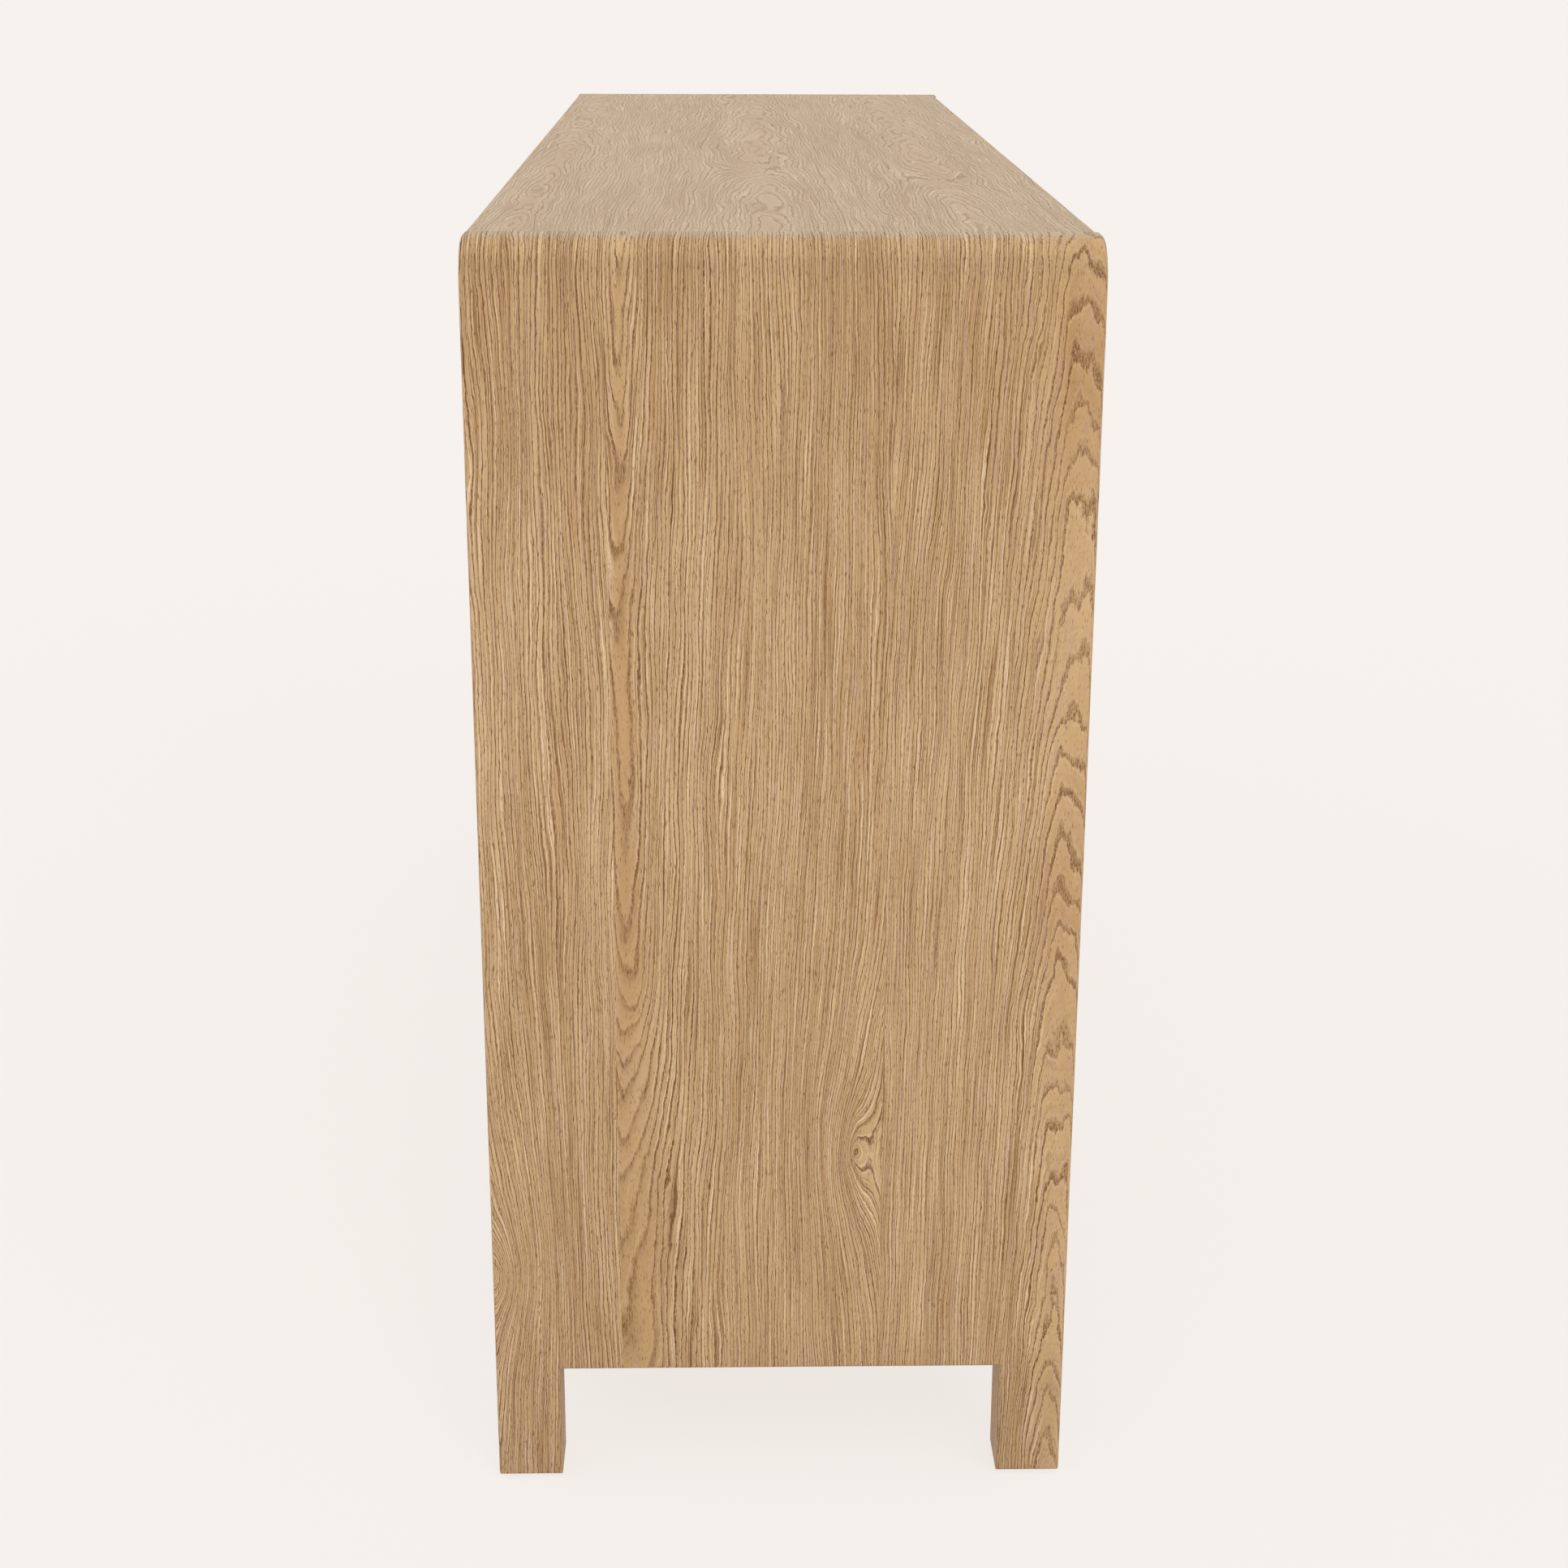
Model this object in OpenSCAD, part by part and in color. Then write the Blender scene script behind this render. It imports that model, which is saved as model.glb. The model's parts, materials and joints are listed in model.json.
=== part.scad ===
// Oak sideboard: two end panels with rounded top corners and cut-out legs, a top between them,
// a door on pivot hinges in each outer bay and three dovetailed drawers on telescopic runners.
// The origin is on the floor under the middle. X runs along the length and the front faces -Y.

/* [Overall] */
// Length over the two end panels
body_l = 1430; // [1200:10:1800]
// Depth of the end panels, front to back
body_d = 400; // [360:5:500]
// Height of the end panels, without the glides
body_h = 870; // [760:5:1000]

/* [Frame] */
// Thickness of the end panels and their legs
end_t = 42; // [36:1:50]
// Thickness of the top panel
top_t = 42; // [26:1:50]
// Radius of an end panel's rounded top corner
corner_r = 30; // [12:1:34]
// Rounding of the frame's long edges
edge_r = 3; // [1:0.5:5]
// Width of a leg, front to back
leg_w = 45; // [36:1:80]
// Height of the notch between two legs
notch_h = 85; // [50:1:140]
// How far the top's front edge lies behind the end panels'
front_step = 2.3; // [0.5:0.1:4]
// How far the top's back edge lies inside the end panels'
back_step = 0.7; // [0.2:0.1:2]

/* [Carcass] */
// Thickness of the base panel
base_t = 25; // [18:1:32]
// Thickness of a divider
divider_t = 20; // [18:1:28]
// Clear width of the drawer bay
drawer_bay_w = 436; // [360:2:520]
// Thickness of the back panel
back_t = 6; // [4:0.5:8]
// How far the back panel lies in from the end panels' back edges
back_recess = 2; // [1:0.5:6]
// How far the back panel laps over the panels round it
back_lap = 10; // [8:0.5:14]
// Thickness of a shelf
shelf_t = 18; // [15:1:25]
// The pin hole, counted from below, that carries the shelf
shelf_hole = 4; // [1:1:7]

/* [Doors and drawer fronts] */
// Thickness of a front
front_t = 20; // [18:1:25]
// How far the fronts lie behind the carcass's front edges
front_set = 2; // [0:0.5:5]
// Gap round a front
front_gap = 2.5; // [2:0.1:4]
// Width of the gap that fingers reach into
pull_gap = 14; // [11:1:20]
// Bevel behind the edge that fingers pull
pull_bevel = 12; // [8:0.5:14]
// Rounding of a front's face edges
front_r = 2; // [1:0.5:3]
// Height of the top drawer's front
top_front_h = 180; // [150:5:240]
// Width of the door stop's land behind a door
stop_land = 12; // [10:0.5:16]
// Depth of the door stop, front to back
stop_t = 12; // [10:1:18]

/* [Hinges] */
// Distance of a pivot from the door's face and from its hinge edge
pivot_in = 6; // [5.5:0.1:7]
// Diameter of a pivot pin
pivot_d = 5; // [4:0.5:6]
// Wall of a leaf's ear round the pin
ear_wall = 2; // [1.5:0.1:2.5]
// Thickness of a hinge leaf
leaf_t = 3; // [2.5:0.5:4]
// Length of a hinge leaf past its pivot
leaf_l = 60; // [50:1:90]
// Width of a hinge leaf
leaf_w = 10; // [8:0.5:12]

/* [Drawer boxes] */
// Thickness of a box's four boards
board_t = 12; // [11:0.5:16]
// Thickness of a box's bottom
bottom_t = 6; // [4:0.5:8]
// Depth of the groove that holds the bottom
groove_d = 6; // [4:0.5:8]
// Height of the bottom over the box's lower edge
bottom_up = 10; // [8:1:20]
// How far a box starts above the lower edge of its front
box_up = 12; // [8:1:25]
// How far a box ends below the upper edge of its front
box_down = 35; // [28:1:45]
// Pitch of the dovetails up a corner, about
tail_pitch = 34; // [24:1:50]
// Share of the pitch that a tail takes at its wide end
tail_share = 0.72; // [0.6:0.01:0.8]
// Slope of a dovetail's flanks, in degrees
tail_slope = 9; // [6:0.5:14]

/* [Drawer runners] */
// Height of a runner
runner_h = 45; // [40:1:50]
// Width of a runner, from divider to drawer
runner_w = 12.7; // [12.7:0.1:14]
// Thickness of a runner's steel
runner_sheet = 1.2; // [1:0.1:1.4]
// Height of a runner's race
race_h = 3.9; // [3:0.1:4.5]
// Steps that runners come in
runner_step = 50; // [25:25:50]

/* [Fittings] */
// Diameter of a dowel
dowel_d = 8; // [6:1:10]
// Length of a dowel
dowel_l = 40; // [30:1:44]
// Distance of the outer dowels from the middle of the depth
dowel_span = 140; // [110:5:150]
// Diameter of a cam lock
cam_d = 15; // [12:1:18]
// Height of a cam lock
cam_h = 14; // [13:0.5:16]
// Distance of a cam bolt from the panel's underside
cam_axis = 9.5; // [8.5:0.1:10.5]
// Diameter of a cam bolt
cam_bolt_d = 6; // [5:0.5:7]
// Distance of the cam locks from the middle of the depth
cam_span = 95; // [70:5:105]
// Diameter of a shelf pin
shelf_pin_d = 5; // [4:0.5:6]
// Pitch of the shelf pin holes
pin_pitch = 32; // [25:1:40]
// Diameter of a door magnet
magnet_d = 8; // [6:0.5:9]
// Thickness of a door magnet
magnet_t = 5; // [3:0.5:8]
// Diameter of a leg glide
glide_d = 20; // [15:1:30]
// Thickness of a leg glide
glide_t = 3; // [2:0.5:6]

/* [Hidden] */
$fn = 48;
oak = "#c49a68";
core_oak = "#d2ae80";
birch = "#dcc39a";
steel = "#a9adb1";
felt = "#6b655c";
over = 1; // how far a cutter runs past what it cuts
fit = 0.05; // clearance round a pin, dowel or screw
board_fit = 0.1; // clearance round a board in its groove
axial_play = 0.2; // play between a door leaf and the boss under it

// Heights
foot_z = glide_t;
top_z = foot_z + body_h;
top_under = top_z - top_t;
base_z = foot_z + notch_h;
base_top = base_z + base_t;
open_h = top_under - base_top;
mid_z = (top_under + base_top) / 2;

// Places along the length, for the left half
in_x = body_l / 2 - end_t;
divider_x = drawer_bay_w / 2;
door_bay_x = divider_x + divider_t;

// Places from front to back
leg_y = -body_d / 2 + leg_w;
front_y = -body_d / 2 + front_step;
rear_y = body_d / 2 - back_step;
back_out_y = body_d / 2 - back_recess;
back_in_y = back_out_y - back_t;
face_y = front_y + front_set;
inside_y = face_y + front_t;
stop_gap = 0.5;
stop_y = inside_y + stop_gap;
stop_w = pull_gap + pull_bevel + stop_land;
shelf_gap = 2;
shelf_y = stop_y + stop_t + shelf_gap;
board_r = front_r / 2; // rounding of the boards' front edges behind the fronts

// Doors and their hinges
door_w = in_x - door_bay_x - front_gap - pull_gap;
door_h = open_h - 2 * front_gap;
pivot_x = -in_x + front_gap + pivot_in;
pivot_y = face_y + pivot_in;
ear_r = pivot_d / 2 + ear_wall;
leaf_mid = front_t / 2 - pivot_in;
pin_past = 2; // how far a pin runs past the door leaf
pin_room = 0.5; // room round the pin's end in the door
leaf_screw_d = 3;
leaf_screw_l = 16;
leaf_screw_in = 10;
leaf_screw_pitch = 25;
leaf_screw_x = [leaf_l - leaf_screw_in - leaf_screw_pitch, leaf_l - leaf_screw_in];
magnet_x = -door_bay_x - pull_gap - pull_bevel - stop_land / 2;
magnet_in = 90;
magnet_z = [base_top + magnet_in, top_under - magnet_in];
strike_t = 2;
strike_d = magnet_d + 1;

// Drawers, counted from the top
drawer_names = ["top", "middle", "bottom"];
lowest = len(drawer_names) - 1;
runner_set = 2; // how far a runner starts behind the front
runner_room = 5; // room behind a runner at the least
runner_depth = back_in_y - inside_y - runner_set - runner_room;
runner_l = runner_step * floor(runner_depth / runner_step);
box_l = runner_l + runner_set;
box_x = divider_x - runner_w;
function front_h(i) =
    i == 0 ? top_front_h : (open_h - front_gap - (lowest + 1) * pull_gap - top_front_h) / lowest;
function front_z(i) =
    i == lowest ? base_top + front_gap : front_z(i + 1) + front_h(i + 1) + pull_gap;
function box_h(i) = front_h(i) - box_up - box_down;
function box_z(i) = front_z(i) + box_up;
function runner_z(i) = box_z(i) + box_h(i) / 2;

// A runner's section: x from the divider towards the drawer, y up from its middle
runner_play = 0.4;
head_room = 2; // room for the screw heads behind the middle member
lip_room = 1.5; // room between a lip and the member that it hooks round
lip_short = 3.7; // how far the cabinet member's lips stop short of the drawer
mid_short = 1.8; // how far the middle member's lips stop short of the drawer
inner_race_h = 3.4;
race_out = runner_h / 2 - runner_sheet - runner_play;
mid_flange = race_out - race_h;
race_in = mid_flange - runner_sheet - runner_play;
slide_flange = race_in - inner_race_h;
lip_w = runner_w - lip_short;
mid_web = runner_sheet + head_room;
mid_w = runner_w - mid_short;

// Fasteners
dowel_in_end = 18;
dowel_end_gap = 0.5;
cam_reach = 34;
cam_bolt_in = 12;
screw_d = 3.5;
runner_screw_front = 37;
runner_screw_back = 60;
runner_screw_y = [runner_screw_front, runner_l - runner_screw_back];
runner_screw_l = 14;
slide_screw_l = 10;
front_screw_l = 25;
front_screw_x = 60;
front_screw_low = 12; // over the box's bottom
front_screw_high = 20; // below the box's upper edge
back_screw_l = 16;
back_screw_in = 60;
glide_taper = 2;
nail_d = 2;
nail_l = 12;

// Shelf pins
pin_row_in = 45;
pin_rows = [shelf_y + pin_row_in, back_in_y - pin_row_in];
pin_count = 7;
pin_in = 9;
pin_out = 8;
function pin_z(n) = mid_z + (n - (pin_count + 1) / 2) * pin_pitch;
shelf_z = pin_z(shelf_hole) + shelf_pin_d / 2 + fit;

drawer_parts = ["front", "box_front", "left_side", "right_side", "back", "bottom", "slides", "screws"];

// Helpers

// The same again on the right
module both_sides() {
    for (side = [0, 1])
        mirror([side, 0, 0]) children();
}

// What stands along z is laid along x
module along_x() {
    mirror([1, 0, -1]) children();
}

// What stands along z is laid along y
module along_y() {
    mirror([0, 1, -1]) children();
}

// The waste outside a quarter round in the corner at the origin, with the wood at +x and +y
module corner_cut(r) {
    difference() {
        translate([-over, -over]) square(r + over);
        translate([r, r]) circle(r);
    }
}

// The same waste along an edge that stands on the origin
module edge_cut(l, r) {
    linear_extrude(l) corner_cut(r);
}

// A board's section, w by h from the origin, with its two corners at x = 0 rounded
module eased_section(w, h, r) {
    difference() {
        square([w, h]);
        corner_cut(r);
        translate([0, h]) mirror([0, 1]) corner_cut(r);
    }
}

// A board that runs the length between the ends, given by its lowest front corner's y and z
module long_board(y, z, w, h, r) {
    translate([-in_x, y, z])
        rotate([90, 0, 90]) linear_extrude(2 * in_x) eased_section(w, h, r);
}

// A countersunk screw that points down, its head's face at the origin
module countersunk(d, l, grow = 0) {
    translate([0, 0, -l - grow]) cylinder(h = l + grow, d = d + 2 * grow);
    translate([0, 0, -d / 2]) cylinder(h = d / 2, r1 = d / 2 + grow, r2 = d + grow);
}

// A pan head screw that points down, with the face that it holds at z = 0
module pan_head(d, l, grow = 0) {
    translate([0, 0, -l - grow]) cylinder(h = l + grow, d = d + 2 * grow);
    head_h = 0.45 * d;
    flat_r = 0.8 * d;
    if (grow == 0)
        cylinder(h = head_h, r1 = d, r2 = flat_r);
}

// Dowels, cams and other fasteners: each is drawn once to be seen and, grown, to be cut out

module dowel_rod(grow) {
    cylinder(h = dowel_l + (grow > 0 ? 2 * dowel_end_gap : 0), d = dowel_d + 2 * grow, center = true);
}

// Those that join the top and the base to the end panels
module end_dowels(grow = 0) {
    both_sides()
        for (y = [-1, 0, 1], z = [base_z + base_t / 2, top_z - top_t / 2])
            translate([-in_x - dowel_in_end + dowel_l / 2, y * dowel_span, z])
                along_x() dowel_rod(grow);
}

// Those that stand in the dividers' ends
module divider_dowels(grow = 0) {
    depth = base_t / 2;
    both_sides()
        for (y = [-1, 0, 1], end = [0, 1])
            translate([-divider_x - divider_t / 2, y * dowel_span, mid_z])
                mirror([0, 0, end])
                    translate([0, 0, -open_h / 2 - depth + dowel_l / 2]) dowel_rod(grow);
}

// Runs its children at every cam: the origin is the cam's axis at the panel's underside
module at_cams() {
    both_sides()
        for (y = [-1, 1], z = [base_z, top_under])
            translate([-in_x + cam_reach, y * cam_span, z]) children();
}

module cam_bolt_set(grow = 0) {
    at_cams()
        translate([-cam_reach - cam_bolt_in - grow, 0, cam_axis])
            along_x() cylinder(h = cam_bolt_in + cam_reach + grow, d = cam_bolt_d + 2 * grow);
}

module cam_lock_set(grow = 0) {
    at_cams()
        translate([0, 0, grow > 0 ? -over : 0])
            cylinder(h = cam_h + (grow > 0 ? over + grow : 0), d = cam_d + 2 * grow);
}

// Where the back panel's screws sit, as x and z
function back_screw_spots() = concat(
    [for (x = [-2 : 2], end = [-1, 1])
        [x * (in_x - back_screw_in) / 2, mid_z + end * (open_h + back_lap) / 2]],
    [for (side = [-1, 1], z = [-1, 0, 1], x = [in_x + back_lap / 2, divider_x + divider_t / 2])
        [side * x, mid_z + z * open_h / 3]]
);

module back_screw_set(grow = 0) {
    for (spot = back_screw_spots())
        translate([spot.x, back_out_y, spot.y])
            rotate([-90, 0, 0]) pan_head(screw_d, back_screw_l, grow);
}

module shelf_pin_rod(grow, out) {
    translate([0, 0, -pin_in - grow])
        cylinder(h = pin_in + grow + out, d = shelf_pin_d + 2 * grow);
}

// One bay's pins or holes at the given hole numbers, on both walls of the left bay
module pin_set(holes, grow, out) {
    for (y = pin_rows, n = holes) {
        translate([-in_x, y, pin_z(n)]) along_x() shelf_pin_rod(grow, out);
        translate([-door_bay_x, y, pin_z(n)]) mirror([1, 0, 0]) along_x() shelf_pin_rod(grow, out);
    }
}

module glide_spots() {
    both_sides()
        for (side = [0, 1])
            mirror([0, side, 0])
                translate([-body_l / 2 + end_t / 2, -body_d / 2 + leg_w / 2, 0]) children();
}

// Frame

// The space of the back panel and the rebate behind it
module back_space() {
    translate([-in_x - back_lap, back_in_y, base_top - back_lap])
        cube([2 * (in_x + back_lap), body_d, open_h + 2 * back_lap]);
}

// The rounded edges of an end panel's front half, in the panel's own place
module end_edge_cuts() {
    translate([0, -body_d / 2, -over]) edge_cut(body_h - corner_r + over, edge_r);
    translate([corner_r, -body_d / 2, body_h - corner_r])
        rotate([-90, 0, 0]) rotate([0, 0, 180])
            rotate_extrude(angle = 90)
                translate([corner_r, 0]) mirror([1, 0]) corner_cut(edge_r);
    translate([corner_r, -body_d / 2, body_h])
        mirror([0, 0, 1]) along_x() edge_cut(end_t - corner_r + over, edge_r);
    translate([end_t, -body_d / 2, -over])
        mirror([1, 0, 0]) edge_cut(body_h + 2 * over, edge_r);
    translate([-over, -body_d / 2, 0]) along_x() edge_cut(end_t + 2 * over, edge_r);
    translate([0, -body_d / 2 - over, 0]) along_y() edge_cut(leg_w + 2 * over, edge_r);
    translate([0, leg_y, -over]) mirror([0, 1, 0]) edge_cut(notch_h + over, edge_r);
    translate([0, leg_y, notch_h]) along_y() edge_cut(-leg_y + over, edge_r);
    translate([0, leg_y, notch_h]) mirror([0, 1, 0]) intersection() {
        edge_cut(edge_r, edge_r);
        along_y() edge_cut(edge_r, edge_r);
    }
}

// An end panel with its outer face at x = 0 and its feet at z = 0
module eased_end() {
    difference() {
        translate([0, body_d / 2, 0]) rotate([90, 0, 0]) linear_extrude(body_d) difference() {
            square([end_t, body_h]);
            translate([0, body_h]) mirror([0, 1]) corner_cut(corner_r);
        }
        translate([-over, leg_y, -over]) cube([end_t + 2 * over, -2 * leg_y, notch_h + over]);
        for (side = [0, 1])
            mirror([0, side, 0]) end_edge_cuts();
    }
}

module end_panel() {
    color(oak) difference() {
        translate([-body_l / 2, 0, foot_z]) eased_end();
        back_space();
        end_dowels(fit);
        cam_bolt_set(fit);
        pin_set([1 : pin_count], fit, over);
        back_screw_set(fit);
        glide_spots() glide_nail(fit);
    }
}

module top_panel() {
    color(oak) difference() {
        long_board(front_y, top_under, rear_y - front_y, top_t, edge_r);
        translate([-in_x, rear_y, top_z])
            mirror([0, 1, 0]) mirror([0, 0, 1]) along_x() edge_cut(2 * in_x, edge_r);
        back_space();
        end_dowels(fit);
        divider_dowels(fit);
        cam_bolt_set(fit);
        cam_lock_set(fit);
        back_screw_set(fit);
        hinge_recesses();
    }
}

module base_panel() {
    color(oak) difference() {
        long_board(front_y, base_z, rear_y - front_y, base_t, front_r);
        back_space();
        end_dowels(fit);
        divider_dowels(fit);
        cam_bolt_set(fit);
        cam_lock_set(fit);
        back_screw_set(fit);
        hinge_recesses();
    }
}

module divider() {
    color(oak) difference() {
        translate([-door_bay_x, front_y, base_top]) linear_extrude(open_h)
            mirror([1, -1]) eased_section(back_in_y - front_y, divider_t, board_r);
        divider_dowels(fit);
        pin_set([1 : pin_count], fit, over);
        back_screw_set(fit);
        runner_screw_set(fit);
    }
}

module back_panel() {
    color(birch) difference() {
        translate([-in_x - back_lap + board_fit, back_in_y, base_top - back_lap + board_fit])
            cube([2 * (in_x + back_lap - board_fit), back_t, open_h + 2 * (back_lap - board_fit)]);
        back_screw_set(fit);
    }
}

module shelf() {
    gap = 0.5;
    color(oak) translate([-in_x + gap, shelf_y, shelf_z]) linear_extrude(shelf_t)
        square([in_x - door_bay_x - 2 * gap, back_in_y - shelf_y - gap]);
}

module leg_glide() {
    color(felt) {
        cylinder(h = glide_t, d1 = glide_d - glide_taper, d2 = glide_d);
        glide_nail(0);
    }
}

module glide_nail(grow) {
    translate([0, 0, glide_t - grow]) cylinder(h = nail_l + 2 * grow, d = nail_d + 2 * grow);
}

// Doors, modelled on the left

// Runs its children at a door's lower and upper pivot: the origin is on the frame's face
module at_pivots() {
    for (end = [0, 1])
        translate([pivot_x, pivot_y, mid_z])
            mirror([0, 0, end]) translate([0, 0, -open_h / 2]) children();
}

// A hinge leaf seen from above: the ear round the pivot at the origin and the bar it is cranked to
module leaf_outline(grow = 0) {
    circle(ear_r + grow);
    translate([0, leaf_mid - leaf_w / 2 - grow]) square([leaf_l + grow, leaf_w + 2 * grow]);
}

module leaf_screws(grow = 0) {
    for (x = leaf_screw_x)
        translate([x, leaf_mid, 0]) countersunk(leaf_screw_d, leaf_screw_l, grow);
}

module frame_leaf() {
    difference() {
        translate([0, 0, -leaf_t]) linear_extrude(leaf_t) leaf_outline();
        leaf_screws(fit);
    }
    cylinder(h = front_gap - axial_play, r = ear_r);
    cylinder(h = front_gap + leaf_t + pin_past, d = pivot_d);
}

module door_leaf() {
    translate([0, 0, front_gap]) difference() {
        linear_extrude(leaf_t) leaf_outline();
        translate([0, 0, -over]) cylinder(h = leaf_t + 2 * over, d = pivot_d + 2 * fit);
        mirror([0, 0, 1]) leaf_screws(fit);
    }
}

// What the frame's own leaves need cut into the top and the base
module hinge_recesses() {
    both_sides() at_pivots() {
        translate([0, 0, -leaf_t]) linear_extrude(leaf_t + over) leaf_outline(board_fit);
        leaf_screws(fit);
    }
}

// A front's section, l long and front_t thick with its face at y = 0; the far end may be bevelled behind
module front_section(l, bevel) {
    difference() {
        square([l, front_t]);
        corner_cut(front_r);
        translate([l, 0]) mirror([1, 0]) corner_cut(front_r);
        if (bevel > 0)
            translate([l, front_t]) rotate(45) square(bevel * sqrt(2), center = true);
    }
}

// A front with eased face edges and a finger bevel behind its top edge or its right edge
module front_board(w, h, bevel_top) {
    intersection() {
        linear_extrude(h) front_section(w, bevel_top ? 0 : pull_bevel);
        along_x() linear_extrude(w) front_section(h, bevel_top ? pull_bevel : 0);
    }
}

module door() {
    color(oak) difference() {
        translate([-in_x + front_gap, face_y, base_top + front_gap])
            front_board(door_w, door_h, false);
        at_pivots() translate([0, 0, front_gap]) {
            translate([0, 0, -over]) linear_extrude(leaf_t + over) leaf_outline(board_fit);
            cylinder(h = leaf_t + pin_past + over, d = pivot_d + 2 * pin_room);
            mirror([0, 0, 1]) leaf_screws(fit);
        }
        strikes(fit);
    }
}

module strikes(grow) {
    for (z = magnet_z)
        translate([magnet_x, inside_y - strike_t - grow, z])
            along_y() cylinder(h = strike_t + (grow > 0 ? over : 0), d = strike_d + 2 * grow);
}

module magnets(grow) {
    for (z = magnet_z)
        translate([magnet_x, stop_y - (grow > 0 ? over : 0), z])
            along_y() cylinder(h = magnet_t + (grow > 0 ? over + grow : 0), d = magnet_d + 2 * grow);
}

module door_stop() {
    color(oak) difference() {
        translate([-door_bay_x - stop_w, stop_y, base_top]) linear_extrude(open_h)
            eased_section(stop_w, stop_t, board_r);
        magnets(fit);
    }
}

// Drawers, counted from the top

// Dovetails up a board of height h, from a shoulder at x = 0 out to x = -board_t
module tails(h) {
    count = max(2, round(h / tail_pitch));
    pitch = h / count;
    head = tail_share * pitch / 2;
    neck = head - board_t * tan(tail_slope);
    for (i = [0 : count - 1])
        translate([0, (i + 0.5) * pitch])
            polygon([[0, -neck], [0, neck], [-board_t, head], [-board_t, -head]]);
}

// Both ends' tails of a side, from the box's front edge at x = 0
module side_tails(h) {
    translate([board_t, 0]) tails(h);
    translate([box_l - board_t, 0]) mirror([1, 0]) tails(h);
}

module at_side(i) {
    translate([-box_x, inside_y, box_z(i)])
        rotate([90, 0, 90]) linear_extrude(board_t) children();
}

module drawer_bottom(i, grow = 0) {
    reach = board_t - groove_d + board_fit - grow;
    color(birch)
        translate([-box_x + reach, inside_y + reach, box_z(i) + bottom_up - grow])
            cube([2 * (box_x - reach), box_l - 2 * reach, bottom_t + 2 * grow]);
}

module drawer_side(i) {
    color(core_oak) difference() {
        at_side(i) {
            translate([board_t, 0]) square([box_l - 2 * board_t, box_h(i)]);
            side_tails(box_h(i));
        }
        drawer_bottom(i, board_fit);
        slide_screws(i, fit);
    }
}

// The box's own front or back board, with its face at the given y
module drawer_cross(i, y) {
    color(core_oak) difference() {
        translate([-box_x, y, box_z(i)]) cube([2 * box_x, board_t, box_h(i)]);
        both_sides() at_side(i) side_tails(box_h(i));
        drawer_bottom(i, board_fit);
        front_screws(i, fit);
    }
}

module drawer_front(i) {
    color(oak) difference() {
        translate([-divider_x + front_gap, face_y, front_z(i)])
            front_board(2 * (divider_x - front_gap), front_h(i), true);
        front_screws(i, fit);
    }
}

module front_screws(i, grow = 0) {
    low = bottom_up + bottom_t + front_screw_low;
    both_sides()
        for (z = [low, box_h(i) - front_screw_high])
            translate([-box_x + front_screw_x, inside_y + board_t, box_z(i) + z])
                rotate([-90, 0, 0]) pan_head(screw_d, front_screw_l, grow);
}

// Runners, modelled on the left

// A section stood along the left and the right runner of a drawer
module runner_pair(i) {
    both_sides()
        translate([-divider_x, inside_y + runner_set, runner_z(i)])
            along_y() linear_extrude(runner_l) children();
}

// The same below the middle
module and_below() {
    for (side = [0, 1])
        mirror([0, side]) children();
}

module cabinet_section() {
    translate([0, -runner_h / 2]) square([runner_sheet, runner_h]);
    and_below() {
        translate([0, runner_h / 2 - runner_sheet]) square([lip_w, runner_sheet]);
        translate([lip_w - runner_sheet, mid_flange + lip_room])
            square([runner_sheet, runner_h / 2 - mid_flange - lip_room]);
    }
}

module middle_section() {
    translate([mid_web, -mid_flange]) square([runner_sheet, 2 * mid_flange]);
    and_below() {
        translate([mid_web, mid_flange - runner_sheet]) square([mid_w - mid_web, runner_sheet]);
        translate([mid_web, mid_flange])
            square([lip_w - runner_sheet - runner_play - mid_web, race_h]);
        translate([mid_w - runner_sheet, slide_flange + lip_room])
            square([runner_sheet, mid_flange - slide_flange - lip_room]);
    }
}

module slide_section() {
    flange_x = mid_web + 2 * runner_sheet;
    translate([runner_w - runner_sheet, -slide_flange]) square([runner_sheet, 2 * slide_flange]);
    and_below() {
        translate([flange_x, slide_flange - runner_sheet])
            square([runner_w - flange_x, runner_sheet]);
        translate([flange_x, slide_flange])
            square([mid_w - runner_sheet - runner_play - flange_x, race_in - slide_flange]);
    }
}

module cabinet_runners() {
    color(steel) difference() {
        for (i = [0 : lowest])
            runner_pair(i) cabinet_section();
        runner_screw_set(fit);
    }
}

module runner_screw_set(grow = 0) {
    both_sides()
        for (i = [0 : lowest], y = runner_screw_y)
            translate([-divider_x + runner_sheet, inside_y + runner_set + y, runner_z(i)])
                rotate([0, 90, 0]) pan_head(screw_d, runner_screw_l, grow);
}

module drawer_slides(i) {
    color(steel) difference() {
        runner_pair(i) slide_section();
        slide_screws(i, fit);
    }
}

module slide_screws(i, grow = 0) {
    both_sides()
        for (y = runner_screw_y)
            translate([-box_x - runner_sheet, inside_y + runner_set + y, runner_z(i)])
                rotate([0, -90, 0]) pan_head(screw_d, slide_screw_l, grow);
}

// What is drawn

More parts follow.
